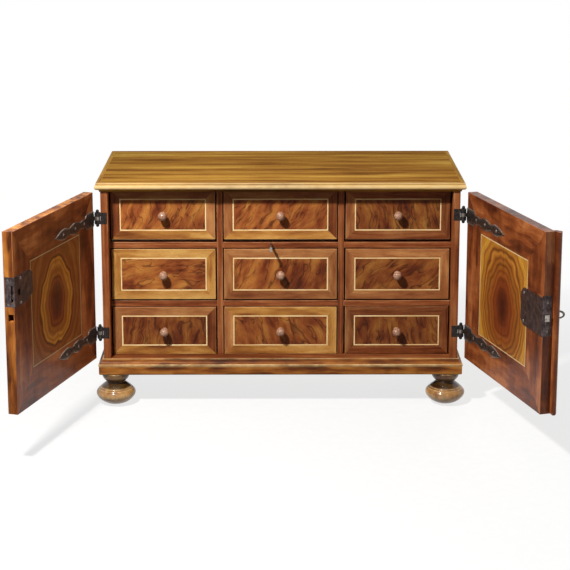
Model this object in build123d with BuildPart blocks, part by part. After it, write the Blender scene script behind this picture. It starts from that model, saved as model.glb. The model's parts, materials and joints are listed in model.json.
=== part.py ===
import os
from math import cos, radians, sin, sqrt

from build123d import *

# A table cabinet: a case on four turned feet, with two doors in front of nine drawers.
# Millimetres. X runs to the right along the front, Y from the front to the back, Z up.
# The origin lies on the table top, at the centre of the four feet.

# Case
case_width = 600
case_depth = 280
inside_height = 289.5       # ledge to the underside of the top
side_thick = 12
back_thick = 8
top_thick = 15.6
top_overhang = 3            # top board and its mouldings, past the back
bottom_thick = 14
moulding_width = 9          # how far the mouldings stand out from the case
plinth_height = 27.5
glue_line = 0.1             # between the boards that make up one piece

# Feet
foot_height = 56.5
foot_inset = 18             # foot centre in from the side
foot_setback = 15           # foot centre in from the front, and from the back
foot_radius = 33.3
foot_belly = 21.5           # height of the widest place
foot_base_radius = 8
foot_lower = (27.9, 10)     # radius and height of a point under the belly
foot_upper = (27, 30)       # and of one over it
waist_radius = 15
waist_height = 39.5
collar_radius = 23.5
collar_height = 3
tenon_radius = 8
tenon_length = 18
tenon_fit = 0.05

# Partitions, rails and shelves
partition_thick = 10
middle_opening = 194.8      # between the two partitions
inner_setback = 23          # stile fronts back to the partitions and rails
rail_height = 10
rail_depth = 12
bottom_row_height = 85
middle_row_height = 92

# Drawers
drawer_front_thick = 14
drawer_front_proud = 1.5    # front's face ahead of the rails
outer_side_gap = 2.6        # left and right columns, each side of a front
middle_side_gap = 1.9
drawer_side_thick = 8
drawer_back_thick = 8
drawer_bottom_thick = 6
drawer_play = 0.3           # box to its shelf, and to the back panel
drawers_out = {}            # drawer name to the distance it is drawn out; empty is all shut

# Knobs
knob_length = 19.5
knob_ball_radius = 7.5
knob_neck_radius = 3.5
knob_flange_radius = 5.5
knob_flange_thick = 1.6
knob_flange_slope = 3.2     # face of the front to the start of the neck
knob_dowel_radius = 3
knob_dowel_length = 10
knob_fit = 0.05

# Doors
door_thick = 16.5
door_gap = 1.8              # stile fronts to the shut door's inner face
door_edge_gap = 0.2         # case side to the door's hinge edge
door_bottom_gap = 0.8
door_top_gap = 1.1
meeting_gap = 1             # between the two shut doors
left_door_open = 107.6      # degrees
right_door_open = 106.4

# Hinges
knuckle_radius = 5
knuckle_clearance = 0.6     # knuckle to the case side
leaf_knuckle_height = 6.4
strap_knuckle_height = 6.6
knuckle_gap = 0.3
pin_radius = 2
pin_fit = 0.05
finial_radius = 2.8
finial_rise = 2.2           # knuckle end to the finial's centre
iron_thick = 1.5            # leaves, straps and plates
leaf_width = 10.5
left_hinge_from_top = 44.8
left_hinge_from_bottom = 43.8
right_hinge_from_top = 39.2
right_hinge_from_bottom = 45.9
strap_length = 150
strap_root_length = 28
strap_root_half = 13
strap_waist_start = 35
strap_waist_end = 54
strap_waist_half = 6
strap_lobe_centre = 75
strap_lobe_half = 9.5
strap_notch = 94
strap_notch_half = 7
strap_leaf_centre = 114
strap_leaf_half = 8.8
strap_taper = 134
strap_nail_places = (40, 75, 121)

# Nails
nail_radius = 1.2
nail_head_radius = 2.7
nail_head_height = 1.3
nail_length = 11
nail_fit = 0.03
flush_nail_radius = 1.8

# Catch on the case and latch in the left door
catch_radius = 2
catch_place = 15.5          # catch in from the left door's free edge
catch_rise = 7              # catch centre above the underside of the upper rail
catch_tail = 10
hook_thick = 2.2
hook_bite = 3               # how far the hook reaches down behind the lever
hook_play = 0.5             # lever to hook, and lever to catch
catch_hole_play = 1.5
latch_height_up = 24        # latch plate above the catch centre
latch_height_down = 23
latch_width = 62.3
latch_top_cut = (10, 6)     # width and height of the corner cut off the plate
latch_bottom_cut = (27, 9)
latch_nail_place = 21       # nails in from the free edge
latch_nail_up = 19
latch_nail_down = 19.5
edge_nail_depth = 9.75      # nails in from the door's inner face
slot_up = 11                # slot in the edge plate, from the catch centre
slot_down = 15.5
edge_plate_thick = 1.2
edge_plate_margin = 1.5     # edge plate to the door's outer face
lever_depth = 2             # door's inner face to the lever
lever_thick = 2
lever_height = 7
lever_play = 0.2
lever_pivot_place = 48      # pivot in from the free edge
lever_tip_gap = 0.4
stud_radius = 2
stud_head_radius = 3.2
stud_head_thick = 1.2
latch_pocket_width = 52
latch_pocket_depth = 9.2
latch_pocket_up = 12
latch_pocket_down = 16

# Lock in the right door
bolt_drop = 40              # bolt centre below the catch centre
bolt_height = 10.4
bolt_head_thick = 8
bolt_head_depth = 2         # door's inner face to the bolt head
bolt_head_length = 14.5
bolt_tail_thick = 4.4
bolt_length = 54.5
bolt_throw = 12             # from flush with the edge to fully out
bolt_play = 0.3
mortise_play = 0.5
mortise_depth = 16
lock_width = 77.3
lock_height_up = 31         # lock plate above the bolt centre
lock_height_down = 28.5
lock_corner = 9
selvage_height_up = 35
selvage_height_down = 29
selvage_margin = 2          # selvage to the door's outer face
lock_pocket_width = 57.5
lock_pocket_depth = 11.5
lock_pocket_up = 12
lock_pocket_down = 18
lock_nail_place = 66.5      # nails in from the free edge
lock_nail_up = 23
lock_nail_down = 22
selvage_screw_up = 23.6
selvage_screw_down = 21.3
selvage_screw_depth = 7.5
staple_place = 17.5         # staple in from the free edge
staple_width = 6
staple_thick = 1.6

# Key
key_place = 37.3            # key in from the free edge
key_drop = 8                # key below the bolt centre
key_swing = 60              # degrees the bit turns each way from upright
key_turn = 30               # degrees short of upright at rest
shank_radius = 2.4
shank_end_radius = 1.4
keyhole_play = 0.4
bit_radius = 7.5
bit_thick = 2
bit_length = 5.6
talon_height = 8.3          # key centre to the top of the talon
talon_mouth_half = 4.1
talon_top_half = 2.4
key_reach = 38              # outer face of the door to the tip of the bow
bow_length = 20
bow_width = 13
bow_thick = 2.6
collar_bead_radius = 3.7
escutcheon_thick = 1.2
escutcheon_width = 22
escutcheon_height = 32
escutcheon_drop = 2         # below the key

# Astragal
astragal_width = 18
astragal_thick = 10
astragal_lap = 9.7          # past the middle of the front, over the left door
astragal_base = 3.5
astragal_bead_radius = 3
astragal_clearance = 0.3

# Places that follow from the sizes
half_width = case_width / 2
front = -case_depth / 2
back = case_depth / 2
ledge = foot_height + plinth_height
ceiling = ledge + inside_height
top = ceiling + top_thick
inner_half = half_width - side_thick
back_inside = back - back_thick
rail_front = front + inner_setback
rail_back = rail_front + rail_depth
lower_rail = ledge + bottom_row_height
upper_rail = lower_rail + rail_height + middle_row_height
partition_inside = middle_opening / 2
partition_outside = partition_inside + partition_thick

foot_x = half_width - foot_inset
foot_y = case_depth / 2 - foot_setback

door_inner = front - door_gap
door_outer = door_inner - door_thick
door_bottom = ledge + door_bottom_gap
door_top = ceiling - door_top_gap
hinge_edge = half_width - door_edge_gap
free_edge = meeting_gap / 2
plate_face = door_inner + iron_thick
edge_plate_depth = door_thick - edge_plate_margin
selvage_depth = door_thick - selvage_margin

axis_x = half_width + knuckle_clearance + knuckle_radius
axis_y = door_inner + knuckle_radius
hinge_half = leaf_knuckle_height + knuckle_gap + strap_knuckle_height / 2

catch_x = -free_edge - catch_place
catch_z = upper_rail + catch_rise
lever_z = catch_z - catch_radius - hook_play - lever_height / 2
lever_face = door_inner - lever_depth
pivot_x = -free_edge - lever_pivot_place
hook_back = lever_face - lever_thick - hook_play
hook_bottom = lever_z + lever_height / 2 - hook_bite
catch_top = catch_z + catch_radius

bolt_z = catch_z - bolt_drop
key_x = free_edge + key_place
key_z = bolt_z - key_drop
bolt_shift = key_turn * bolt_throw / (2 * key_swing)    # rest, back from half way out
bolt_face = door_inner - bolt_head_depth
tail_face = door_inner - bolt_play

# Each column: left and right side of its opening, and the gap beside its drawer fronts
columns = {
    "left": (-inner_half, -partition_outside, outer_side_gap),
    "middle": (-partition_inside, partition_inside, middle_side_gap),
    "right": (partition_outside, inner_half, outer_side_gap),
}
# Each row: bottom and top of its opening, and the gaps below and above its drawer fronts
rows = {
    "bottom": (ledge, lower_rail, 0.8, 1),
    "middle": (lower_rail + rail_height, upper_rail, 3, 1.5),
    "top": (upper_rail + rail_height, ceiling, 5.5, 2),
}
left_hinges = (door_bottom + left_hinge_from_bottom, door_top - left_hinge_from_top)
right_hinges = (door_bottom + right_hinge_from_bottom, door_top - right_hinge_from_top)
hinge_places = [(-1, height) for height in left_hinges] + [(1, height) for height in right_hinges]


def block(x_from, x_to, y_from, y_to, z_from, z_to, mode=Mode.ADD):
    """A board between two corners, in the part that is being built."""
    with Locations(((x_from + x_to) / 2, (y_from + y_to) / 2, (z_from + z_to) / 2)):
        Box(abs(x_to - x_from), abs(y_to - y_from), abs(z_to - z_from), mode=mode)


def upright(y):
    """The plane across the case at depth y: sketches in X and Z, extrusions run forward."""
    return Plane.XZ.offset(-y)


def keep(piece, name):
    """Label one finished piece and write it."""
    piece.part.label = name
    export_step(piece.part, f"parts/{name}.step")


def keep_on_door(piece, name, side):
    """Swing a piece, drawn with its door shut, to where the door stands, then keep it."""
    angle = right_door_open if side > 0 else left_door_open
    hinge_axis = Axis((side * axis_x, axis_y, 0), (0, 0, 1))
    piece.part = piece.part.rotate(hinge_axis, side * angle)
    keep(piece, name)


os.makedirs("parts", exist_ok=True)


# --- Case -----------------------------------------------------------------

with BuildPart() as top_board:
    block(-half_width, half_width, front, back + top_overhang, ceiling, top)
keep(top_board, "top_board")

# A thin lip over a half-round nose over a cove; the section stands at the rear end of the left run.
lip_width = 7
lip_height = 2.9
quirk_width = 6.4           # where the lip's underside meets the nose
nose_radius = 4.4
nose_centre = moulding_width - nose_radius
nose_bottom = top - lip_height - 2 * nose_radius
nose_top = nose_bottom + nose_radius + sqrt(nose_radius**2 - (quirk_width - nose_centre) ** 2)
cove_foot = 1.5
cove_middle = (2.1, 2.2)
cove_head = 4
with BuildPart() as top_mouldings:
    with BuildLine() as top_run:
        Polyline(
            (-half_width, back + top_overhang, 0),
            (-half_width, front, 0),
            (half_width, front, 0),
            (half_width, back + top_overhang, 0),
        )
    with BuildSketch(
        Plane(origin=(-half_width, back + top_overhang, 0), x_dir=(-1, 0, 0), z_dir=(0, 1, 0))
    ):
        with BuildLine():
            Polyline(
                (0, ceiling),
                (0, top),
                (lip_width, top),
                (lip_width, top - lip_height),
                (quirk_width, top - lip_height),
                (quirk_width, nose_top),
            )
            ThreePointArc(
                (quirk_width, nose_top),
                (moulding_width, nose_bottom + nose_radius),
                (nose_centre, nose_bottom),
            )
            Line((nose_centre, nose_bottom), (cove_head, nose_bottom))
            ThreePointArc(
                (cove_head, nose_bottom),
                (cove_middle[0], ceiling + cove_middle[1]),
                (cove_foot, ceiling),
            )
            Line((cove_foot, ceiling), (0, ceiling))
        make_face()
    sweep(path=top_run.wires()[0], transition=Transition.RIGHT)
    for side in (-1, 1):
        with Locations(Location((side * half_width, front, ceiling), (0, 0, -45 * side))):
            Box(4 * moulding_width, glue_line, 4 * top_thick, mode=Mode.SUBTRACT)
keep(top_mouldings, "top_mouldings")


def case_side(side):
    """One side board, with the hinge leaves let into its front edge."""
    outside = side * half_width
    with BuildPart() as board:
        block(side * inner_half, outside, front, back, ledge, ceiling)
        for hinge_side, height in hinge_places:
            if hinge_side == side:
                block(
                    side * (half_width - leaf_width), outside, front, front + iron_thick,
                    height - hinge_half, height + hinge_half, mode=Mode.SUBTRACT,
                )
    return board


keep(case_side(-1), "left_side")
keep(case_side(1), "right_side")

with BuildPart() as back_panel:
    block(-inner_half, inner_half, back_inside, back, ledge, ceiling)
keep(back_panel, "back_panel")

with BuildPart() as bottom_board:
    block(-half_width, half_width, front, back, ledge - bottom_thick, ledge)
    tenon_top = foot_height + tenon_length
    with Locations((0, 0, foot_height)):
        with GridLocations(2 * foot_x, 2 * foot_y, 2, 2):
            Cylinder(
                tenon_radius + tenon_fit, tenon_length + tenon_fit,
                align=(Align.CENTER, Align.CENTER, Align.MIN), mode=Mode.SUBTRACT,
            )
keep(bottom_board, "bottom_board")

for side, name in ((-1, "left_partition"), (1, "right_partition")):
    with BuildPart() as partition:
        block(
            side * partition_inside, side * partition_outside,
            rail_front, back_inside, ledge, ceiling,
        )
    keep(partition, name)

with BuildPart() as drawer_rails:
    for left, right, _ in columns.values():
        for height in (lower_rail, upper_rail):
            block(left, right, rail_front, rail_back, height, height + rail_height)
    with BuildSketch(upright(rail_front + catch_tail)):
        with Locations((catch_x, catch_z)):
            Circle(catch_radius)
    extrude(amount=catch_tail, mode=Mode.SUBTRACT)
keep(drawer_rails, "drawer_rails")

with BuildPart() as drawer_shelves:
    for left, right, _ in columns.values():
        for height in (lower_rail, upper_rail):
            block(left, right, rail_back, back_inside, height, height + rail_height)
keep(drawer_shelves, "drawer_shelves")

# The base moulding: a cove down to a fillet, over a plain fascia.
cove_drop = 8.5
fillet_drop = 11
fascia_drop = 12.8
cove_start = 2.5
cove_hollow = (3.7, 5.1)
cove_end = 7.5
fascia_width = 8.2
with BuildPart() as plinth_mouldings:
    with BuildLine() as base_run:
        Polyline(
            (-half_width, back, 0),
            (-half_width, front, 0),
            (half_width, front, 0),
            (half_width, back, 0),
        )
    with BuildSketch(Plane(origin=(-half_width, back, 0), x_dir=(-1, 0, 0), z_dir=(0, 1, 0))):
        with BuildLine():
            Polyline((cove_start, ledge), (0, ledge), (0, foot_height), (fascia_width, foot_height))
            Polyline(
                (fascia_width, foot_height),
                (fascia_width, ledge - fascia_drop),
                (moulding_width, ledge - fillet_drop),
                (moulding_width, ledge - cove_drop),
                (cove_end, ledge - cove_drop),
            )
            ThreePointArc(
                (cove_end, ledge - cove_drop),
                (cove_hollow[0], ledge - cove_hollow[1]),
                (cove_start, ledge),
            )
        make_face()
    sweep(path=base_run.wires()[0], transition=Transition.RIGHT)
    for side in (-1, 1):
        with Locations(Location((side * half_width, front, ledge), (0, 0, -45 * side))):
            Box(4 * moulding_width, glue_line, 3 * plinth_height, mode=Mode.SUBTRACT)
keep(plinth_mouldings, "plinth_mouldings")

with BuildPart() as foot_battens:
    for side in (-1, 1):
        block(
            side * (half_width - 2 * foot_inset), side * half_width,
            front, back, foot_height, ledge - bottom_thick,
        )
    with Locations((0, 0, foot_height)):
        with GridLocations(2 * foot_x, 2 * foot_y, 2, 2):
            Cylinder(
                tenon_radius + tenon_fit, tenon_length,
                align=(Align.CENTER, Align.CENTER, Align.MIN), mode=Mode.SUBTRACT,
            )
keep(foot_battens, "foot_battens")


def foot(x, y):
    """A turned foot: flattened ball, cup, collar, and the tenon that goes up into the base."""
    with BuildPart() as turned:
        with BuildSketch(Plane(origin=(x, y, 0), x_dir=(1, 0, 0), z_dir=(0, -1, 0))):
            with BuildLine():
                Line((0, 0), (foot_base_radius, 0))
                Spline(
                    (foot_base_radius, 0),
                    foot_lower,
                    (foot_radius, foot_belly),
                    foot_upper,
                    (waist_radius, waist_height),
                    tangents=((1, 0.3), (-1, 0.75)),
                )
                Spline(
                    (waist_radius, waist_height),
                    (collar_radius, foot_height - collar_height),
                    tangents=((1, 1.1), (0, 1)),
                )
                Polyline(
                    (collar_radius, foot_height - collar_height),
                    (collar_radius, foot_height),
                    (tenon_radius, foot_height),
                    (tenon_radius, tenon_top),
                    (0, tenon_top),
                    (0, 0),
                )
            make_face()
        revolve(axis=Axis((x, y, 0), (0, 0, 1)))
    return turned


keep(foot(-foot_x, -foot_y), "front_left_foot")
keep(foot(foot_x, -foot_y), "front_right_foot")
keep(foot(-foot_x, foot_y), "rear_left_foot")
keep(foot(foot_x, foot_y), "rear_right_foot")

# The catch is a pin in the upper rail whose end turns down as a hook.
hook_end = hook_back - hook_thick
with BuildPart() as catch_pin:
    with BuildSketch(upright(rail_front + catch_tail)):
        with Locations((catch_x, catch_z)):
            Circle(catch_radius)
    extrude(amount=rail_front + catch_tail - hook_end)
    block(
        catch_x - catch_radius, catch_x + catch_radius, hook_end, hook_back,
        hook_bottom, catch_top,
    )
keep(catch_pin, "catch_pin")


# --- Hinges ---------------------------------------------------------------

with BuildPart() as hinge_leaves:
    for side, height in hinge_places:
        block(
            side * (half_width - leaf_width), side * half_width, front, front + iron_thick,
            height - hinge_half, height + hinge_half,
        )
        for end in (-1, 1):
            middle = height + end * (hinge_half - leaf_knuckle_height / 2)
            with Locations((side * axis_x, axis_y, middle)):
                Cylinder(knuckle_radius, leaf_knuckle_height)
            block(
                side * half_width, side * (axis_x - knuckle_radius / 2), front, front + iron_thick,
                middle - leaf_knuckle_height / 2, middle + leaf_knuckle_height / 2,
            )
        with Locations((side * axis_x, axis_y, height)):
            Cylinder(pin_radius + pin_fit, 2 * hinge_half, mode=Mode.SUBTRACT)
keep(hinge_leaves, "hinge_leaves")

with BuildPart() as hinge_pins:
    for side, height in hinge_places:
        with Locations((side * axis_x, axis_y, height)):
            Cylinder(pin_radius, 2 * (hinge_half + finial_rise))
        for end in (-1, 1):
            with Locations((side * axis_x, axis_y, height + end * (hinge_half + finial_rise))):
                Sphere(finial_radius)
keep(hinge_pins, "hinge_pins")


def door_straps(side, heights):
    """The two strap halves of one door's hinges, each with the middle knuckle."""
    edge = side * hinge_edge
    with BuildPart() as straps:
        for height in heights:
            face = Plane(origin=(edge, door_inner, height), x_dir=(-side, 0, 0), z_dir=(0, 1, 0))
            with BuildSketch(face):
                with BuildLine():
                    Polyline(
                        (0, 0),
                        (0, strap_root_half),
                        (strap_root_length, strap_root_half),
                        (strap_waist_start, strap_waist_half),
                        (strap_waist_end, strap_waist_half),
                    )
                    ThreePointArc(
                        (strap_waist_end, strap_waist_half),
                        (strap_lobe_centre, strap_lobe_half),
                        (strap_notch, strap_notch_half),
                    )
                    ThreePointArc(
                        (strap_notch, strap_notch_half),
                        (strap_leaf_centre, strap_leaf_half),
                        (strap_taper, strap_waist_half),
                    )
                    Line((strap_taper, strap_waist_half), (strap_length, 0))
                    mirror(about=Plane.XZ)
                make_face()
                with Locations(*[(place, 0) for place in strap_nail_places]):
                    Circle(nail_radius + nail_fit, mode=Mode.SUBTRACT)
            extrude(amount=iron_thick)
            block(
                edge, side * axis_x, door_inner, plate_face,
                height - strap_knuckle_height / 2, height + strap_knuckle_height / 2,
            )
            with Locations((side * axis_x, axis_y, height)):
                Cylinder(knuckle_radius, strap_knuckle_height)
                Cylinder(pin_radius + pin_fit, strap_knuckle_height, mode=Mode.SUBTRACT)
    return straps


keep_on_door(door_straps(-1, left_hinges), "left_door_straps", -1)
keep_on_door(door_straps(1, right_hinges), "right_door_straps", 1)

# Nail places on the inner faces, as X and Z with the doors shut
left_strap_nails = [
    (place - hinge_edge, height) for height in left_hinges for place in strap_nail_places
]
right_strap_nails = [
    (hinge_edge - place, height) for height in right_hinges for place in strap_nail_places
]
latch_nails = [
    (-free_edge - latch_nail_place, catch_z + latch_nail_up),
    (-free_edge - latch_nail_place, catch_z - latch_nail_down),
]
lock_nails = [
    (free_edge + lock_nail_place, bolt_z + lock_nail_up),
    (free_edge + lock_nail_place, bolt_z - lock_nail_down),
]
# Flush nails in the free edges, as Y and Z
latch_edge_nails = [
    (door_inner - edge_nail_depth, catch_z + latch_nail_up),
    (door_inner - edge_nail_depth, catch_z - latch_nail_down),
]
selvage_screws = [
    (door_inner - selvage_screw_depth, bolt_z + selvage_screw_up),
    (door_inner - selvage_screw_depth, bolt_z - selvage_screw_down),
]


def door_nails(side, face_nails, edge_nails):
    """Domed nails in the straps and plates, and flush ones in the free edge."""
    dome_radius = (nail_head_radius**2 + nail_head_height**2) / (2 * nail_head_height)
    dome_centre = nail_head_height - dome_radius
    halfway = nail_head_radius / 2
    with BuildPart() as nails:
        for x, z in face_nails:
            with BuildSketch(Plane(origin=(x, plate_face, z), x_dir=(1, 0, 0), z_dir=(0, 0, 1))):
                with BuildLine():
                    Polyline(
                        (0, nail_head_height),
                        (0, -nail_length),
                        (nail_radius, -nail_length),
                        (nail_radius, 0),
                        (nail_head_radius, 0),
                    )
                    ThreePointArc(
                        (nail_head_radius, 0),
                        (halfway, dome_centre + sqrt(dome_radius**2 - halfway**2)),
                        (0, nail_head_height),
                    )
                make_face()
            revolve(axis=Axis((x, plate_face, z), (0, 1, 0)))
        with BuildSketch(Plane.YZ.offset(side * free_edge)):
            with Locations(*edge_nails):
                Circle(flush_nail_radius)
        extrude(amount=side * nail_length)
    return nails


keep_on_door(door_nails(-1, left_strap_nails + latch_nails, latch_edge_nails), "left_door_nails", -1)
keep_on_door(door_nails(1, right_strap_nails + lock_nails, selvage_screws), "right_door_nails", 1)


# --- Latch in the left door -----------------------------------------------

latch_top = catch_z + latch_height_up
latch_bottom = catch_z - latch_height_down
with BuildPart() as latch_plate:
    with BuildSketch(upright(plate_face)):
        with BuildLine():
            Polyline(
                (-free_edge, latch_bottom),
                (-free_edge, latch_top),
                (-free_edge - latch_width + latch_top_cut[0], latch_top),
                (-free_edge - latch_width, latch_top - latch_top_cut[1]),
                (-free_edge - latch_width, latch_bottom + latch_bottom_cut[1]),
                (-free_edge - latch_width + latch_bottom_cut[0], latch_bottom),
                close=True,
            )
        make_face()
        with Locations(*latch_nails):
            Circle(nail_radius + nail_fit, mode=Mode.SUBTRACT)
        with Locations((catch_x, (hook_bottom + catch_top) / 2)):
            Rectangle(
                2 * (catch_radius + catch_hole_play),
                catch_top - hook_bottom + 2 * catch_hole_play,
                mode=Mode.SUBTRACT,
            )
    extrude(amount=iron_thick)
    block(
        -free_edge - edge_plate_thick, -free_edge, door_inner - edge_plate_depth, plate_face,
        latch_bottom, latch_top,
    )
    # Slot in the edge for the lever's tip
    block(
        -free_edge - edge_plate_thick, -free_edge,
        lever_face + hook_play, lever_face - lever_thick - hook_play,
        catch_z - slot_down, catch_z + slot_up, mode=Mode.SUBTRACT,
    )
    with BuildSketch(Plane.YZ.offset(-free_edge)):
        with Locations(*latch_edge_nails):
            Circle(flush_nail_radius + nail_fit)
    extrude(amount=-edge_plate_thick, mode=Mode.SUBTRACT)
    # Stud that the lever turns on: collar, journal and riveted head
    with BuildSketch(upright(door_inner)):
        with Locations((pivot_x, lever_z)):
            Circle(stud_head_radius)
    extrude(amount=lever_depth - lever_play)
    with BuildSketch(upright(door_inner)):
        with Locations((pivot_x, lever_z)):
            Circle(stud_radius)
    extrude(amount=lever_depth + lever_thick + lever_play + stud_head_thick)
    with BuildSketch(upright(lever_face - lever_thick - lever_play)):
        with Locations((pivot_x, lever_z)):
            Circle(stud_head_radius)
    extrude(amount=stud_head_thick)
keep_on_door(latch_plate, "latch_plate", -1)

lever_tip = -free_edge - lever_tip_gap
with BuildPart() as latch_lever:
    with BuildSketch(upright(lever_face)):
        with Locations(((pivot_x + lever_tip) / 2, lever_z)):
            Rectangle(lever_tip - pivot_x, lever_height)
        with Locations((pivot_x, lever_z)):
            Circle(lever_height / 2)
            Circle(stud_radius + pin_fit, mode=Mode.SUBTRACT)
    extrude(amount=lever_thick)
keep_on_door(latch_lever, "latch_lever", -1)

with BuildPart() as left_door_panel:
    block(-hinge_edge, -free_edge, door_outer, door_inner, door_bottom, door_top)
    # Seat of the edge plate, and the pocket behind the latch plate
    block(
        -free_edge - edge_plate_thick, -free_edge, door_inner - edge_plate_depth, door_inner,
        latch_bottom, latch_top, mode=Mode.SUBTRACT,
    )
    block(
        -free_edge - latch_pocket_width, -free_edge - edge_plate_thick,
        door_inner - latch_pocket_depth, door_inner,
        catch_z - latch_pocket_down, catch_z + latch_pocket_up, mode=Mode.SUBTRACT,
    )
    # Mortise for the bolt of the other door
    block(
        -free_edge - mortise_depth, -free_edge,
        bolt_face - bolt_head_thick - mortise_play, bolt_face + mortise_play,
        bolt_z - bolt_height / 2 - mortise_play, bolt_z + bolt_height / 2 + mortise_play,
        mode=Mode.SUBTRACT,
    )
    with BuildSketch(upright(door_inner)):
        with Locations(*(left_strap_nails + latch_nails)):
            Circle(nail_radius + nail_fit)
    extrude(amount=nail_length, mode=Mode.SUBTRACT)
    with BuildSketch(Plane.YZ.offset(-free_edge)):
        with Locations(*latch_edge_nails):
            Circle(flush_nail_radius + nail_fit)
    extrude(amount=-nail_length - nail_fit, mode=Mode.SUBTRACT)
keep_on_door(left_door_panel, "left_door_panel", -1)


# --- Lock in the right door -----------------------------------------------

with BuildPart() as lock_plate:
    with BuildSketch(upright(plate_face)):
        with BuildLine():
            Polyline(
                (free_edge, bolt_z - lock_height_down),
                (free_edge, bolt_z + lock_height_up),
                (free_edge + lock_width - lock_corner, bolt_z + lock_height_up),
                (free_edge + lock_width, bolt_z + lock_height_up - lock_corner),
                (free_edge + lock_width, bolt_z - lock_height_down + lock_corner),
                (free_edge + lock_width - lock_corner, bolt_z - lock_height_down),
                close=True,
            )
        make_face()
        with Locations(*lock_nails):
            Circle(nail_radius + nail_fit, mode=Mode.SUBTRACT)
        with Locations((key_x, key_z)):
            Circle(shank_end_radius + pin_fit, mode=Mode.SUBTRACT)
    extrude(amount=iron_thick)
    block(
        free_edge, free_edge + edge_plate_thick, door_inner - selvage_depth, plate_face,
        bolt_z - selvage_height_down, bolt_z + selvage_height_up,
    )
    block(
        free_edge, free_edge + edge_plate_thick,
        bolt_face - bolt_head_thick - bolt_play, bolt_face + bolt_play,
        bolt_z - bolt_height / 2 - bolt_play, bolt_z + bolt_height / 2 + bolt_play,
        mode=Mode.SUBTRACT,
    )
    with BuildSketch(Plane.YZ.offset(free_edge)):
        with Locations(*selvage_screws):
            Circle(flush_nail_radius + nail_fit)
    extrude(amount=edge_plate_thick, mode=Mode.SUBTRACT)
keep_on_door(lock_plate, "lock_plate", 1)

# The staple holds the bolt's tail against the plate.
tail_back = tail_face - bolt_tail_thick
staple_back = tail_back - bolt_play
staple_x = free_edge + staple_place
staple_half = bolt_height / 2 + bolt_play
with BuildPart() as lock_staple:
    block(
        staple_x, staple_x + staple_width, staple_back - staple_thick, door_inner,
        bolt_z - staple_half - staple_thick, bolt_z + staple_half + staple_thick,
    )
    block(
        staple_x, staple_x + staple_width, staple_back, door_inner,
        bolt_z - staple_half, bolt_z + staple_half, mode=Mode.SUBTRACT,
    )
keep_on_door(lock_staple, "lock_staple", 1)

# A thick head on a thinner tail. The talon, where the key's bit works, is open below.
bolt_tip = free_edge - bolt_throw / 2 + bolt_shift
talon_x = key_x + bolt_shift
bolt_bottom = bolt_z - bolt_height / 2
with BuildPart() as lock_bolt:
    block(
        bolt_tip, bolt_tip + bolt_head_length, bolt_face - bolt_head_thick, bolt_face,
        bolt_bottom, bolt_z + bolt_height / 2,
    )
    block(
        bolt_tip + bolt_head_length, bolt_tip + bolt_length, tail_back, tail_face,
        bolt_bottom, bolt_z + bolt_height / 2,
    )
    with BuildSketch(upright(tail_face)):
        with BuildLine():
            Polyline(
                (talon_x - talon_mouth_half, bolt_bottom),
                (talon_x - talon_top_half, key_z + talon_height),
                (talon_x + talon_top_half, key_z + talon_height),
                (talon_x + talon_mouth_half, bolt_bottom),
                close=True,
            )
        make_face()
    extrude(amount=bolt_tail_thick, mode=Mode.SUBTRACT)
keep_on_door(lock_bolt, "lock_bolt", 1)

# Key, in the lock, with its bit in the talon and its bow outside
shank_start = tail_face
key_tip = door_outer - key_reach
bow_centre = key_tip + bow_length / 2
with BuildPart() as key:
    with BuildSketch(upright(plate_face)):
        with Locations((key_x, key_z)):
            Circle(shank_end_radius)
    extrude(amount=plate_face - shank_start)
    with BuildSketch(upright(shank_start)):
        with Locations((key_x, key_z)):
            Circle(shank_radius)
    extrude(amount=shank_start - bow_centre - bow_length / 2 + bow_thick / 2)
    with BuildSketch(upright(shank_start)):
        with Locations((key_x, key_z)):
            Rectangle(
                bit_thick, bit_radius, rotation=-key_turn, align=(Align.CENTER, Align.MIN)
            )
    extrude(amount=bit_length)
    collar_centre = door_outer - escutcheon_thick - collar_bead_radius - bolt_play
    with Locations((key_x, collar_centre, key_z)):
        Sphere(collar_bead_radius)
    # The bow lies in one plane with the bit.
    bow_normal = (-cos(radians(key_turn)), 0, sin(radians(key_turn)))
    with BuildSketch(Plane(origin=(key_x, bow_centre, key_z), x_dir=(0, -1, 0), z_dir=bow_normal)):
        Ellipse(bow_length / 2, bow_width / 2)
        Ellipse(bow_length / 2 - bow_thick, bow_width / 2 - bow_thick, mode=Mode.SUBTRACT)
    extrude(amount=bow_thick / 2, both=True)
keep_on_door(key, "key", 1)

with BuildPart() as right_door_panel:
    block(free_edge, hinge_edge, door_outer, door_inner, door_bottom, door_top)
    block(
        free_edge, free_edge + edge_plate_thick, door_inner - selvage_depth, door_inner,
        bolt_z - selvage_height_down, bolt_z + selvage_height_up, mode=Mode.SUBTRACT,
    )
    block(
        free_edge + edge_plate_thick, free_edge + lock_pocket_width,
        door_inner - lock_pocket_depth, door_inner,
        bolt_z - lock_pocket_down, bolt_z + lock_pocket_up, mode=Mode.SUBTRACT,
    )
    with BuildSketch(upright(door_inner)):
        with Locations(*(right_strap_nails + lock_nails)):
            Circle(nail_radius + nail_fit)
    extrude(amount=nail_length, mode=Mode.SUBTRACT)
    with BuildSketch(Plane.YZ.offset(free_edge)):
        with Locations(*selvage_screws):
            Circle(flush_nail_radius + nail_fit)
    extrude(amount=nail_length + nail_fit, mode=Mode.SUBTRACT)
    # Keyhole, from the pocket out through the outer face
    with BuildSketch(upright(door_inner - lock_pocket_depth)):
        with Locations((key_x, key_z)):
            Circle(shank_radius + keyhole_play)
            Rectangle(
                bit_thick + 2 * keyhole_play, bit_radius + keyhole_play,
                align=(Align.CENTER, Align.MAX),
            )
    extrude(amount=door_thick - lock_pocket_depth, mode=Mode.SUBTRACT)
keep_on_door(right_door_panel, "right_door_panel", 1)

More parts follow.
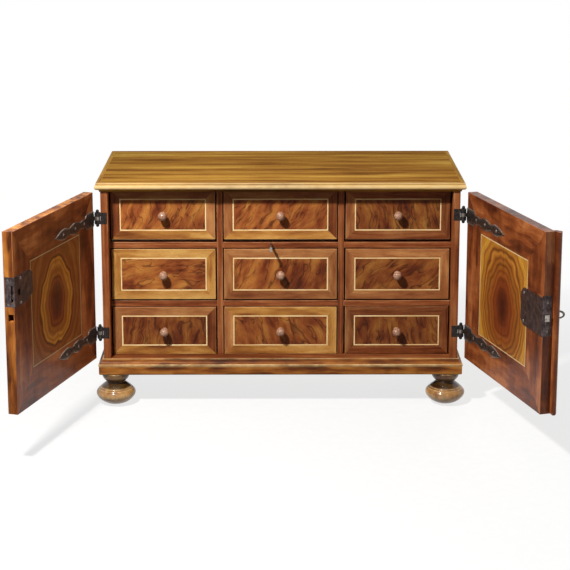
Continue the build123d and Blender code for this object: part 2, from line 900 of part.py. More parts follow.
with BuildPart() as escutcheon:
    with BuildSketch(upright(door_outer)):
        with Locations((key_x, key_z - escutcheon_drop)):
            Ellipse(escutcheon_width / 2, escutcheon_height / 2)
        with Locations((key_x, key_z)):
            Circle(shank_radius + keyhole_play, mode=Mode.SUBTRACT)
            Rectangle(
                bit_thick + 2 * keyhole_play, bit_radius + keyhole_play,
                align=(Align.CENTER, Align.MAX), mode=Mode.SUBTRACT,
            )
    extrude(amount=escutcheon_thick)
keep_on_door(escutcheon, "escutcheon", 1)

# A reeded strip on the right door's outer face, whose lip covers the joint between the doors
astragal_x = astragal_width / 2 - astragal_lap
with BuildPart() as astragal:
    with BuildSketch(Plane.XY.offset(door_bottom)):
        with Locations((astragal_x, door_outer - astragal_base / 2)):
            Rectangle(astragal_width, astragal_base)
        with Locations((astragal_x, door_outer - astragal_thick / 2)):
            Circle(astragal_thick / 2)
        for side in (-1, 1):
            bead_x = astragal_x + side * (astragal_width / 2 - astragal_bead_radius)
            with Locations((bead_x, door_outer - astragal_base)):
                Circle(astragal_bead_radius)
    extrude(amount=door_top - door_bottom)
    block(
        astragal_x - astragal_width / 2, free_edge,
        door_outer - astragal_clearance, door_outer, door_bottom, door_top,
        mode=Mode.SUBTRACT,
    )
keep_on_door(astragal, "astragal", 1)


# --- Drawers --------------------------------------------------------------

def knob_profile(x, y, z):
    """Turned knob standing forward from the point given, with its dowel behind."""
    neck_end = knob_length - knob_ball_radius - sqrt(knob_ball_radius**2 - knob_neck_radius**2)
    with BuildPart() as knob:
        with BuildSketch(Plane(origin=(x, y, z), x_dir=(1, 0, 0), z_dir=(0, 0, -1))):
            with BuildLine():
                Polyline(
                    (0, knob_length),
                    (0, -knob_dowel_length),
                    (knob_dowel_radius, -knob_dowel_length),
                    (knob_dowel_radius, 0),
                    (knob_flange_radius, 0),
                    (knob_flange_radius, knob_flange_thick),
                    (knob_neck_radius, knob_flange_slope),
                    (knob_neck_radius, neck_end),
                )
                ThreePointArc(
                    (knob_neck_radius, neck_end),
                    (knob_ball_radius, knob_length - knob_ball_radius),
                    (0, knob_length),
                )
            make_face()
        revolve(axis=Axis((x, y, z), (0, -1, 0)))
    return knob


for row_name, (opening_bottom, opening_top, gap_below, gap_above) in rows.items():
    for column_name, (opening_left, opening_right, side_gap) in columns.items():
        drawer = f"{row_name}_{column_name}"
        out = drawers_out.get(drawer, 0)
        left = opening_left + side_gap
        right = opening_right - side_gap
        front_bottom = opening_bottom + gap_below
        front_top = opening_top - gap_above
        face = rail_front - drawer_front_proud - out
        box_front = face + drawer_front_thick
        box_back = back_inside - drawer_play - out
        box_bottom = opening_bottom + drawer_play
        knob_x = (left + right) / 2
        knob_z = (front_bottom + front_top) / 2

        with BuildPart() as drawer_front:
            block(left, right, face, box_front, front_bottom, front_top)
            with BuildSketch(upright(face + knob_dowel_length + knob_fit)):
                with Locations((knob_x, knob_z)):
                    Circle(knob_dowel_radius + knob_fit)
            extrude(amount=knob_dowel_length + knob_fit, mode=Mode.SUBTRACT)
        keep(drawer_front, f"{drawer}_front")

        with BuildPart() as drawer_box:
            inside_left = left + drawer_side_thick + glue_line
            inside_right = right - drawer_side_thick - glue_line
            block(
                left, left + drawer_side_thick, box_front, box_back, box_bottom, front_top
            )
            block(
                right - drawer_side_thick, right, box_front, box_back, box_bottom, front_top
            )
            block(
                inside_left, inside_right, box_back - drawer_back_thick, box_back,
                box_bottom, front_top,
            )
            block(
                inside_left, inside_right, box_front,
                box_back - drawer_back_thick - glue_line,
                box_bottom, box_bottom + drawer_bottom_thick,
            )
        keep(drawer_box, f"{drawer}_box")

        keep(knob_profile(knob_x, face, knob_z), f"{drawer}_knob")
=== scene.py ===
import json
from math import pi, radians

import bmesh
import bpy
import numpy as np
from mathutils import Matrix, Vector

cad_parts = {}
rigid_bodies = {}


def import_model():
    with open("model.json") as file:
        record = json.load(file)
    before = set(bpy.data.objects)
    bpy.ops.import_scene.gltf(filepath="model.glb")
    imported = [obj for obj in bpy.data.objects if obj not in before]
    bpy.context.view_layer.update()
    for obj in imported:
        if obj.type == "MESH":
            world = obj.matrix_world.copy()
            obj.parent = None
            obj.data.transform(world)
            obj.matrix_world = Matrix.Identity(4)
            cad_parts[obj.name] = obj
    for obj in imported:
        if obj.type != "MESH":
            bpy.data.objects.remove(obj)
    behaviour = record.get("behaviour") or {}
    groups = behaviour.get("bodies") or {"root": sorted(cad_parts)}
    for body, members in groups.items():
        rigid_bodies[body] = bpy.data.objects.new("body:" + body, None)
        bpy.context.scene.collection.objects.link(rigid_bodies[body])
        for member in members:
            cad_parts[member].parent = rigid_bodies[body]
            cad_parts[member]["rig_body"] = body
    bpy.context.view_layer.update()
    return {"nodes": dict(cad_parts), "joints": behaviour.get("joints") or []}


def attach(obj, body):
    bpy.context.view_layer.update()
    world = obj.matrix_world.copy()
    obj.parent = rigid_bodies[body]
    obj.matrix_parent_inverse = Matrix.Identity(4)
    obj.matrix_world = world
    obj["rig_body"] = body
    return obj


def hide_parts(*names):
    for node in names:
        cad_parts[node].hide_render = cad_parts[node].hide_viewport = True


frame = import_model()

# A walnut table cabinet: case, two doors on strap hinges, nine drawers.
# Shapes are worked out in millimetres, and go into the meshes in metres.
mm = 0.001
nodes = frame["nodes"]
joints = {joint["name"]: joint for joint in frame["joints"]}


# Materials

def linear(code):  # an sRGB hex colour as linear RGBA
    parts = np.array([int(code[i:i + 2], 16) for i in (1, 3, 5)]) / 255
    parts = np.where(parts <= 0.04045, parts / 12.92, ((parts + 0.055) / 1.055) ** 2.4)
    return (*parts.tolist(), 1.0)


def addNode(tree, kind, links=None, stops=None, **settings):
    # One shader node, for its outputs: links gives its inputs sockets or values, stops the colours of a ramp
    made = tree.nodes.new("ShaderNode" + kind)
    for name, value in settings.items():
        setattr(made, name, value)
    if stops:
        elements = made.color_ramp.elements
        while len(elements) < len(stops):
            elements.new(1)
        for element, (place, code) in zip(elements, stops):
            element.position = place
            element.color = linear(code)
    for socket, value in (links or {}).items():
        if isinstance(value, bpy.types.NodeSocket):
            tree.links.new(value, made.inputs[socket])
        else:
            made.inputs[socket].default_value = linear(value) if isinstance(value, str) else value
    return made.outputs


def startMaterial(name, finish):  # finish: values that are the same all over the surface
    material = bpy.data.materials.new(name)
    material.use_nodes = True
    skin = material.node_tree.nodes["Principled BSDF"]
    for socket, value in finish.items():
        skin.inputs[socket].default_value = value
    return material, material.node_tree, skin


def finishSkin(tree, skin, colour, gloss, relief, depth):  # depth: of the relief, in mm
    bump = addNode(tree, "Bump", {"Height": relief, "Strength": 1.0, "Distance": depth * mm})[0]
    for socket, value in (("Base Color", colour), ("Roughness", gloss), ("Normal", bump)):
        tree.links.new(value, skin.inputs[socket])


def drawnOut(tree, vector, size, detail):
    # Noise whose cells are about `size` mm along, across and through the grain
    cells = [1 / side for side in size]
    scaled = addNode(tree, "VectorMath", {0: vector, 1: cells}, operation="MULTIPLY")[0]
    noise = {"Vector": scaled, "Scale": 1.0, "Detail": detail, "Roughness": 0.6}
    return addNode(tree, "TexNoise", noise)["Fac"]


def weighed(tree, parts):  # one half + the sum of weight * (part - one half)
    total = 0.5 - 0.5 * sum(weight for weight, _ in parts)
    for weight, part in parts:
        total = addNode(tree, "Math", {0: part, 1: weight, 2: total}, operation="MULTIPLY_ADD")[0]
    return total


def swirled(tree, grain, look):
    # The place in the grain, pushed by up to half of `bend` mm each way by noise of `swirl` mm
    coarse = addNode(tree, "VectorMath", {0: grain, "Scale": 1 / look["swirl"]}, operation="SCALE")[0]
    noise = {"Vector": coarse, "Scale": 1.0, "Detail": look["swirlDetail"]}
    turn = addNode(tree, "TexNoise", noise)["Color"]
    turn = addNode(tree, "VectorMath", {0: turn, 1: (0.5, 0.5, 0.5)}, operation="SUBTRACT")[0]
    turn = addNode(tree, "VectorMath", {0: turn, "Scale": look["bend"]}, operation="SCALE")[0]
    return addNode(tree, "VectorMath", {0: grain, 1: turn}, operation="ADD")[0]


def finishWood(tree, skin, look, colour, grain, fibre, relief):
    # What all the woods share: fibres, rubbed arrises, tone of the board, wax sheen and open pores. The
    # rubbed colour
    #     # goes where worn says: wear, and on the top's nose, the base fillet and the feet partly a painted
    #     highlight.
    #     # Tone carries painted shade on the feet and some drawers, and painted light on the left door
    tone = addNode(tree, "Attribute", attribute_name="tone")["Fac"]
    worn = addNode(tree, "Attribute", attribute_name="worn")["Fac"]
    depth = look["fibreDepth"]
    light = addNode(tree, "MapRange", {"Value": fibre, "From Min": 0.32, "From Max": 0.68,
                                       "To Min": 1 - depth, "To Max": 1 + 0.5 * depth})[0]
    light = addNode(tree, "Math", {0: tone, 1: 1.0, 2: light}, operation="MULTIPLY_ADD")[0]
    pores = drawnOut(tree, grain, look["pore"], 2)
    pores = addNode(tree, "MapRange", {"Value": pores, "From Min": 0.6, "From Max": 0.68,
                                       "To Min": 1.0, "To Max": 1 - look["poreDepth"]})[0]
    light = addNode(tree, "Math", {0: light, 1: pores}, operation="MULTIPLY")[0]
    colour = addNode(tree, "VectorMath", {0: colour, "Scale": light}, operation="SCALE")[0]
    patches = drawnOut(tree, grain, look["patch"], 3)
    rubAndSheen = addNode(tree, "MapRange", {"Value": patches, "From Min": 0.38, "From Max": 0.62,
                                     "To Min": look["leastRubbed"], "To Max": 1})[0]
    rubAndSheen = addNode(tree, "Math", {0: rubAndSheen, 1: worn}, operation="MULTIPLY")[0]
    rubAndSheen = addNode(tree, "Math", {0: rubAndSheen, 1: look["wear"]}, operation="MULTIPLY")[0]
    colour = addNode(tree, "Mix", {0: rubAndSheen, 6: colour, 7: look["rubbedAndSheen"]}, data_type="RGBA")[2]
    low, high = look["roughness"]
    gloss = addNode(tree, "MapRange", {"Value": patches, "From Min": 0.3, "From Max": 0.7,
                                       "To Min": low, "To Max": high})[0]
    finishSkin(tree, skin, colour, gloss, relief, look["relief"])


def solidWood(name, look):
    # Growth rings are circles round a pith beside the board, bent by slow drift; streaks follow the grain
    material, tree, skin = startMaterial(name, look["finish"])
    grain = addNode(tree, "Attribute", attribute_name="grain")["Vector"]
    drift = drawnOut(tree, grain, look["drift"], 2)
    bend = look["bend"]
    shift = addNode(tree, "Math", {0: drift, 1: bend, 2: -0.5 * bend}, operation="MULTIPLY_ADD")[0]
    shift = addNode(tree, "CombineXYZ", {1: shift, 2: shift})[0]
    bent = addNode(tree, "VectorMath", {0: grain, 1: shift}, operation="ADD")[0]
    section = addNode(tree, "VectorMath", {0: bent, 1: (0, 1, 1)}, operation="MULTIPLY")[0]
    radius = addNode(tree, "VectorMath", {0: section}, operation="LENGTH")["Value"]
    phase = addNode(tree, "Math", {0: radius, 1: 2 * pi / look["ring"]}, operation="MULTIPLY")[0]
    wave = addNode(tree, "Math", {0: phase}, operation="SINE")[0]
    ring = addNode(tree, "Math", {0: wave, 1: 0.5, 2: 0.5}, operation="MULTIPLY_ADD")[0]
    streak = drawnOut(tree, bent, look["streak"], 4)
    curl = drawnOut(tree, grain, look["curl"], 1)
    fibre = drawnOut(tree, grain, look["fibre"], 3)
    mixed = weighed(tree, [(look["driftShare"], drift), (look["ringShare"], ring),
                           (look["streakShare"], streak), (look["curlShare"], curl)])
    colour = addNode(tree, "ValToRGB", {0: mixed}, stops=look["colours"])[0]
    relief = weighed(tree, [(0.7, fibre), (0.3, streak)])
    finishWood(tree, skin, look, colour, grain, fibre, relief)
    return material


def crotchVeneer(name, look):
    # Veneer from where a branch leaves the trunk: clouds of light and dark, crossed by thin dark growth lines
    # that run where a slow, bent noise passes through even steps
    material, tree, skin = startMaterial(name, look["finish"])
    grain = addNode(tree, "Attribute", attribute_name="grain")["Vector"]
    bent = swirled(tree, grain, look)
    flame = drawnOut(tree, bent, look["flame"], 5)
    cloud = drawnOut(tree, grain, look["cloud"], 2)
    fibre = drawnOut(tree, bent, look["fibre"], 3)
    course = drawnOut(tree, bent, look["vein"], 2)
    course = addNode(tree, "Math", {0: course, 1: look["veins"]}, operation="MULTIPLY")[0]
    away = addNode(tree, "Math", {0: course, 1: 0.5}, operation="PINGPONG")[0]
    vein = addNode(tree, "MapRange", {"Value": away, "From Min": 0.0, "From Max": look["veinWidth"],
                                      "To Min": look["veinDepth"], "To Max": 0.0})[0]
    strong = drawnOut(tree, grain, look["veinBreak"], 2)
    strong = addNode(tree, "MapRange", {"Value": strong, "From Min": 0.34, "From Max": 0.5})[0]
    vein = addNode(tree, "Math", {0: vein, 1: strong}, operation="MULTIPLY")[0]
    mixed = weighed(tree, [(look["flameShare"], flame), (look["cloudShare"], cloud)])
    colour = addNode(tree, "ValToRGB", {0: mixed}, stops=look["colours"])[0]
    colour = addNode(tree, "Mix", {0: vein, 6: colour, 7: look["veinColour"]}, data_type="RGBA")[2]
    relief = weighed(tree, [(0.7, fibre), (0.3, flame)])
    finishWood(tree, skin, look, colour, grain, fibre, relief)
    return material


def oysterVeneer(name, look):
    # Two leaves opened like a book: rings are ellipses about the heart, taller above it than below, bent by
    # slow noise. Their half width is `wide` mm, their half height `above` and `below` mm, times the distance
    material, tree, skin = startMaterial(name, look["finish"])
    grain = addNode(tree, "Attribute", attribute_name="grain")["Vector"]
    bent = swirled(tree, grain, look)
    up = addNode(tree, "VectorMath", {0: bent, 1: (1, 0, 0)}, operation="DOT_PRODUCT")["Value"]
    tall = addNode(tree, "MapRange", {"Value": up, "From Min": -25.0, "From Max": 25.0,
                                      "To Min": 1 / look["below"], "To Max": 1 / look["above"]})[0]
    tall = addNode(tree, "CombineXYZ", {0: tall, 1: 1 / look["wide"]})[0]
    squashed = addNode(tree, "VectorMath", {0: bent, 1: tall}, operation="MULTIPLY")[0]
    distance = addNode(tree, "VectorMath", {0: squashed}, operation="LENGTH")["Value"]
    share = addNode(tree, "Math", {0: distance, 1: 1 / look["reach"]}, operation="MULTIPLY")[0]
    colour = addNode(tree, "ValToRGB", {0: share}, stops=look["colours"])[0]
    phase = addNode(tree, "Math", {0: distance, 1: 2 * pi * look["rings"]}, operation="MULTIPLY")[0]
    wobble = drawnOut(tree, grain, look["wobble"], 2)
    ripple = addNode(tree, "Math", {0: wobble, 1: look["wobbleTurn"], 2: phase}, operation="MULTIPLY_ADD")[0]
    wave = addNode(tree, "Math", {0: ripple}, operation="SINE")[0]
    light = addNode(tree, "Math", {0: wave, 1: look["ringDepth"], 2: 1.0}, operation="MULTIPLY_ADD")[0]
    cloud = drawnOut(tree, grain, look["cloud"], 3)
    depth = look["cloudDepth"]
    light = addNode(tree, "Math", {0: cloud, 1: depth, 2: light}, operation="MULTIPLY_ADD")[0]
    light = addNode(tree, "Math", {0: light, 1: 0.5 * depth}, operation="SUBTRACT")[0]
    fromSeam = addNode(tree, "VectorMath", {0: grain, 1: (0, 1, 0)}, operation="DOT_PRODUCT")["Value"]
    near, far = look["seam"]
    seam = addNode(tree, "MapRange", {"Value": fromSeam, "From Min": near, "From Max": far,
                                      "To Min": look["seamLight"], "To Max": 1})[0]
    light = addNode(tree, "Math", {0: light, 1: seam}, operation="MULTIPLY")[0]
    colour = addNode(tree, "VectorMath", {0: colour, "Scale": light}, operation="SCALE")[0]
    fibre = drawnOut(tree, grain, look["fibre"], 3)
    relief = weighed(tree, [(0.7, fibre), (0.1, wave)])
    finishWood(tree, skin, look, colour, grain, fibre, relief)
    return material


# Looks of the woods. Noise sizes are mm along, across and through the grain; ring and relief are mm too. A
# share or depth is how much a part adds. Wear and painted highlights bring `rubbedAndSheen`, in patches down
# to `leastRubbed`.
# Real pores and fibres are a fifth of a millimetre wide or less, and are drawn coarser so that they show
waxed = {"Coat Weight": 0.02, "Coat Roughness": 0.25, "Specular IOR Level": 0.12}
polished = {"Coat Weight": 0.12, "Coat Roughness": 0.14, "Specular IOR Level": 0.2}
openPores = {
    "pore": (8, 0.7, 0.7), "poreDepth": 0.35, "fibre": (11, 0.7, 0.7), "fibreDepth": 0.22,
    "patch": (25, 12, 12), "leastRubbed": 0.2,
}

# Walnut, sawn and waxed: reddish brown with darker streaks and open pores
caseWalnut = solidWood("waxedWalnut", {
    **openPores, "finish": waxed, "roughness": (0.4, 0.56), "relief": 0.06, "rubbedAndSheen": "#c4946c", "wear": 0.65,
    "drift": (260, 26, 26), "bend": 22, "ring": 9, "streak": (120, 4.5, 4.5), "curl": (24, 90, 90),
    "driftShare": 0.9, "ringShare": 0.1, "streakShare": 0.8, "curlShare": 0.15,
    "colours": [(0.2, "#4a200f"), (0.38, "#74391b"), (0.52, "#8d4f2a"), (0.66, "#a1653a"), (0.82, "#b67f50")],
})
# Walnut with pale sapwood, waxed: honey gold with brown streaks, on the drawer borders
goldenWalnut = solidWood("goldenWalnut", {
    **openPores, "finish": waxed, "roughness": (0.38, 0.54), "relief": 0.05, "rubbedAndSheen": "#e6c58e", "wear": 0.8,
    "drift": (110, 24, 24), "bend": 34, "ring": 17, "streak": (90, 9, 9), "curl": (26, 60, 60),
    "driftShare": 1.5, "ringShare": 0.08, "streakShare": 0.6, "curlShare": 0.2,
    "colours": [(0.14, "#6d3a18"), (0.3, "#915a2a"), (0.46, "#ab7436"), (0.6, "#bd8846"), (0.78, "#cc9c56")],
})
# Walnut of the base mouldings and the left door's edges, its polish worn to a warm orange brown
mouldingWalnut = solidWood("wornWalnut", {
    **openPores, "finish": waxed, "roughness": (0.38, 0.54), "relief": 0.06, "rubbedAndSheen": "#e6c58e",
    "wear": 0.85, "leastRubbed": 0.4,
    "drift": (90, 22, 22), "bend": 26, "ring": 14, "streak": (90, 8, 8), "curl": (26, 60, 60),
    "driftShare": 1.4, "ringShare": 0.1, "streakShare": 0.7, "curlShare": 0.2,
    "colours": [(0.2, "#42200d"), (0.36, "#6a3815"), (0.5, "#8c5221"), (0.64, "#a3672b"), (0.82, "#b98140")],
})
# Walnut between the two, on borders that are neither gold nor red
brownWalnut = solidWood("brownWalnut", {
    **openPores, "finish": waxed, "roughness": (0.4, 0.56), "relief": 0.05, "rubbedAndSheen": "#cfa478", "wear": 0.7,
    "drift": (110, 24, 24), "bend": 34, "ring": 17, "streak": (90, 9, 9), "curl": (26, 60, 60),
    "driftShare": 1.3, "ringShare": 0.08, "streakShare": 0.6, "curlShare": 0.2,
    "colours": [(0.14, "#5c2f17"), (0.3, "#7f4726"), (0.46, "#955b33"), (0.6, "#a56c3e"), (0.78, "#b67f4c")],
})
# The top's walnut: long straight grain, rubbed bright along the front by hands and cloths
topWalnut = solidWood("rubbedWalnut", {
    **openPores, "finish": {"Specular IOR Level": 0.0, "Coat Weight": 0.03, "Coat Roughness": 0.4},
    "roughness": (0.5, 0.66), "relief": 0.05, "rubbedAndSheen": "#dcc08c", "wear": 0.8, "leastRubbed": 0.7,
    "fibreDepth": 0.16,
    "drift": (330, 34, 34), "bend": 46, "ring": 26, "streak": (260, 9, 9), "curl": (60, 120, 120),
    "driftShare": 1.5, "ringShare": 0.12, "streakShare": 1.0, "curlShare": 0.12,
    "colours": [(0.16, "#64401a"), (0.34, "#855723"), (0.5, "#9b6c2c"), (0.66, "#ae8036"), (0.84, "#c09646")],
})
# Figured walnut crotch, sliced thin and waxed: soft clouds of orange in reddish brown, with thin dark lines
figuredWalnut = crotchVeneer("crotchWalnutVeneer", {
    **openPores, "finish": waxed, "roughness": (0.36, 0.52), "relief": 0.04, "rubbedAndSheen": "#b98a55", "wear": 0.4,
    "swirl": 50, "swirlDetail": 2.0, "bend": 34, "flame": (60, 13, 13), "cloud": (56, 28, 28),
    "vein": (120, 21, 21), "veins": 5.5, "veinWidth": 0.17, "veinDepth": 0.75, "veinColour": "#34140a",
    "veinBreak": (34, 20, 20),
    "flameShare": 0.75, "cloudShare": 1.25,
    "colours": [(0.16, "#4f2210"), (0.34, "#78391a"), (0.48, "#925026"), (0.6, "#a4622d"), (0.74, "#b37436"),
                (0.88, "#c08642")],
})
# Walnut border veneer of the doors, also on the astragal: deep reddish brown, polished
doorWalnut = solidWood("redWalnutVeneer", {
    **openPores, "finish": polished, "roughness": (0.32, 0.46), "relief": 0.04, "rubbedAndSheen": "#a8704a",
    "wear": 0.5, "drift": (120, 34, 34), "bend": 60, "ring": 16, "streak": (110, 8, 8), "curl": (16, 60, 60),
    "driftShare": 1.5, "ringShare": 0.08, "streakShare": 0.6, "curlShare": 0.3,
    "colours": [(0.18, "#3c170a"), (0.34, "#5c2912"), (0.48, "#763a1a"), (0.62, "#8c4b24"), (0.8, "#a86538")],
})
# Walnut of two leaves opened like a book and polished: gold and brown rings round a dark red heart
opened = {
    **openPores, "finish": polished, "roughness": (0.3, 0.44), "relief": 0.04, "rubbedAndSheen": "#b98a55",
    "wear": 0.3, "wide": 56, "above": 78, "below": 60, "reach": 1.9, "swirl": 62, "swirlDetail": 1.6,
    "bend": 40, "rings": 8, "ringDepth": 0.12, "wobble": (70, 30, 30), "wobbleTurn": 6.0,
    "cloud": (60, 16, 16), "cloudDepth": 0.6, "seam": (0.3, 1.1), "seamLight": 0.45,
}
heart = [(0.07, "#3c1307"), (0.2, "#5a2410")]
ovalWalnut = {
    -1: oysterVeneer("bookMatchedRedWalnut", {
        **opened, "colours": heart + [
            (0.26, "#7c3a16"), (0.29, "#5e280e"), (0.34, "#9a5a20"), (0.38, "#7c4216"), (0.43, "#b0712a"),
            (0.47, "#9a5c20"), (0.51, "#b4762a"), (0.54, "#4c200b"), (0.59, "#86481c"), (0.65, "#6a3412"),
            (0.73, "#8c5122"), (0.81, "#6f3815"), (0.89, "#864c1d"), (1.0, "#774019")]}),
    1: oysterVeneer("bookMatchedGoldWalnut", {
        **opened, "colours": heart + [
            (0.29, "#7c3815"), (0.33, "#64290e"), (0.4, "#8e4b1c"), (0.43, "#743812"), (0.48, "#98591f"),
            (0.51, "#5a280d"), (0.55, "#9c5e22"), (0.6, "#7a3e15"), (0.66, "#ae7128"), (0.69, "#642d0f"),
            (0.74, "#b47828"), (0.79, "#915420"), (0.86, "#c08a30"), (1.0, "#b2772a")]}),
}
# Maple stringing: pale, close grained, darkened by wax in its pores
stringing = solidWood("mapleStringing", {
    **openPores, "finish": waxed, "roughness": (0.36, 0.5), "relief": 0.02, "rubbedAndSheen": "#f6dcaa", "wear": 0.3,
    "drift": (60, 9, 9), "bend": 3, "ring": 4, "streak": (40, 1.6, 1.6), "curl": (9, 30, 30),
    "poreDepth": 0.1, "fibreDepth": 0.08,
    "driftShare": 0.7, "ringShare": 0.1, "streakShare": 0.4, "curlShare": 0.2,
    "colours": [(0.25, "#d0a566"), (0.5, "#ecca92"), (0.75, "#f8dfae")],
})
# Turned walnut: end grain and side grain alternate round the ball, polished smooth on the lathe
turnedWalnut = solidWood("turnedWalnut", {
    **openPores, "finish": {**polished, "Coat Weight": 0.5}, "roughness": (0.24, 0.38), "relief": 0.04,
    "rubbedAndSheen": "#dcb988", "wear": 0.8,
    "drift": (50, 30, 30), "bend": 16, "ring": 12, "streak": (34, 10, 10), "curl": (14, 40, 40),
    "driftShare": 0.8, "ringShare": 0.2, "streakShare": 0.5, "curlShare": 0.2,
    "colours": [(0.2, "#5a3216"), (0.36, "#7f4f24"), (0.5, "#996a34"), (0.64, "#ac7c40"), (0.82, "#be9250")],
})
# Pearwood knobs, turned small: a pinkish brown, handled to a soft shine
knobWood = solidWood("pearwood", {
    **openPores, "finish": {**polished, "Coat Weight": 0.35}, "roughness": (0.28, 0.42), "relief": 0.03,
    "rubbedAndSheen": "#d8b49a", "wear": 0.6, "poreDepth": 0.15,
    "drift": (30, 9, 9), "bend": 5, "ring": 3, "streak": (20, 1.6, 1.6), "curl": (8, 20, 20),
    "driftShare": 0.7, "ringShare": 0.2, "streakShare": 0.5, "curlShare": 0.1,
    "colours": [(0.25, "#6b4430"), (0.5, "#9c6e54"), (0.75, "#c29c7e")],
})
# Spruce of the drawer boxes, bare and gone grey: pale with soft growth lines
paleSpruce = solidWood("bareSpruce", {
    **openPores, "finish": {"Specular IOR Level": 0.25}, "roughness": (0.62, 0.78), "relief": 0.08,
    "rubbedAndSheen": "#e4ddc8", "wear": 0.5, "poreDepth": 0.08, "fibreDepth": 0.1,
    "drift": (260, 24, 24), "bend": 9, "ring": 4.2, "streak": (150, 3, 3), "curl": (30, 70, 70),
    "driftShare": 0.6, "ringShare": 0.42, "streakShare": 0.5, "curlShare": 0.1,
    "colours": [(0.2, "#a39a82"), (0.4, "#c3bba4"), (0.6, "#d5cfba"), (0.8, "#ddd9c8")],
})
# Pine of the back, base, shelves and battens: planed by hand, never finished, browned by age
agedPine = solidWood("agedPine", {
    **openPores, "finish": {"Specular IOR Level": 0.25}, "roughness": (0.6, 0.76), "relief": 0.1,
    "rubbedAndSheen": "#c9a070", "wear": 0.5, "poreDepth": 0.12, "fibreDepth": 0.14,
    "drift": (300, 34, 34), "bend": 20, "ring": 6.5, "streak": (190, 5, 5), "curl": (40, 90, 90),
    "driftShare": 0.7, "ringShare": 0.42, "streakShare": 0.55, "curlShare": 0.1,
    "colours": [(0.2, "#4c2f18"), (0.4, "#7a5430"), (0.6, "#9a7044"), (0.8, "#ad8455")],
})


def makeShadeFilm(name, look):
    # A nearly black, matt film with soft creases inside the drawers: painted shade of the drawer's deep
    # inside
    material, tree, skin = startMaterial(name, {"Specular IOR Level": 0.2})
    grain = addNode(tree, "Attribute", attribute_name="grain")["Vector"]
    mottle = drawnOut(tree, grain, look["mottle"], 4)
    fuzz = drawnOut(tree, grain, look["fuzz"], 2)
    colour = addNode(tree, "ValToRGB", {0: mottle}, stops=look["colours"])[0]
    rough = addNode(tree, "MapRange", {"Value": mottle, "To Min": 0.72, "To Max": 0.92})[0]
    relief = weighed(tree, [(0.8, mottle), (0.2, fuzz)])
    finishSkin(tree, skin, colour, rough, relief, look["relief"])
    return material


paintedShadeFilm = makeShadeFilm("paintedShadeFilmInside", {
    "mottle": (38, 30, 30), "fuzz": (1.4, 1.1, 1.1), "relief": 0.12,
    "colours": [(0.3, "#151915"), (0.5, "#20261f"), (0.7, "#343a30")],
})


def forgedMetal(name, look):
    # Hammered faces, scale in the hollows, bright metal where hands and keys rub
    material, tree, skin = startMaterial(name, look["finish"])
    place = addNode(tree, "TexCoord")["Object"]
    place = addNode(tree, "VectorMath", {0: place, "Scale": 1 / mm}, operation="SCALE")[0]
    worn = addNode(tree, "Attribute", attribute_name="worn")["Fac"]
    blow = addNode(tree, "VectorMath", {0: place, "Scale": 1 / look["blow"]}, operation="SCALE")[0]
    cells = {"Vector": blow, "Scale": 1.0, "Smoothness": 1.0}
    dents = addNode(tree, "TexVoronoi", cells, feature="SMOOTH_F1")["Distance"]
    scale = drawnOut(tree, place, [look["scale"]] * 3, 4)
    grit = drawnOut(tree, place, (0.5, 0.5, 0.5), 2)
    scratch = drawnOut(tree, place, (0.5, 0.5, 9), 2)
    colour = addNode(tree, "ValToRGB", {0: scale}, stops=look["colours"])[0]
    rubAndSheen = addNode(tree, "MapRange", {"Value": scratch, "From Min": 0.58, "From Max": 0.7,
                                     "To Min": 0.0, "To Max": look["scratches"]})[0]
    rubAndSheen = addNode(tree, "Math", {0: worn, 1: look["edges"], 2: rubAndSheen}, operation="MULTIPLY_ADD",
                  use_clamp=True)[0]
    colour = addNode(tree, "Mix", {0: rubAndSheen, 6: colour, 7: look["bright"]}, data_type="RGBA")[2]
    low, high = look["roughness"]
    gloss = addNode(tree, "MapRange", {"Value": scale, "From Min": 0.3, "From Max": 0.7,
                                       "To Min": high, "To Max": low})[0]
    relief = weighed(tree, [(0.55, dents), (0.35, scale), (0.1, grit)])
    finishSkin(tree, skin, colour, gloss, relief, look["relief"])
    return material


# Looks of the metals: blow is the spacing of the hammer marks and scale the size of the stains, in mm.
# Real grit and scratches are finer than half a millimetre, and are drawn that wide to show

# Wrought iron, forged black and rubbed: dark brown with bright scratches
forgedIron = forgedMetal("wroughtIron", {
    "finish": {"Metallic": 0.75}, "roughness": (0.34, 0.56), "relief": 0.5, "blow": 5.5, "scale": 2.6,
    "colours": [(0.3, "#1a1412"), (0.48, "#2d2420"), (0.62, "#423731"), (0.8, "#564a42")],
    "bright": "#b4a89c", "scratches": 0.6, "edges": 0.95,
})
# The same iron on the hinge leaves and pins, left black from the fire
blackIron = forgedMetal("blackIron", {
    "finish": {"Metallic": 0.7}, "roughness": (0.36, 0.56), "relief": 0.4, "blow": 4, "scale": 2.6,
    "colours": [(0.3, "#120e0d"), (0.48, "#1f1917"), (0.62, "#2f2724"), (0.8, "#3f3631")],
    "bright": "#9a9088", "scratches": 0.4, "edges": 0.6,
})
# Iron sheet of the lock and latch plates, filed and waxed: cloudy purple grey
plateIron = forgedMetal("filedIronSheet", {
    "finish": {"Metallic": 0.75}, "roughness": (0.3, 0.5), "relief": 0.4, "blow": 9, "scale": 9,
    "colours": [(0.3, "#241c1b"), (0.46, "#3b302f"), (0.6, "#544746"), (0.78, "#6f6160")],
    "bright": "#b9afaa", "scratches": 0.35, "edges": 0.9,
})
# Wrought iron of the nails and the key, rubbed paler than the straps
rubbedIron = forgedMetal("rubbedIron", {
    "finish": {"Metallic": 0.75}, "roughness": (0.34, 0.5), "relief": 0.3, "blow": 3, "scale": 2.6,
    "colours": [(0.3, "#3a332f"), (0.48, "#5c534d"), (0.62, "#7a7069"), (0.8, "#91877f")],
    "bright": "#c9c0b8", "scratches": 0.6, "edges": 0.9,
})
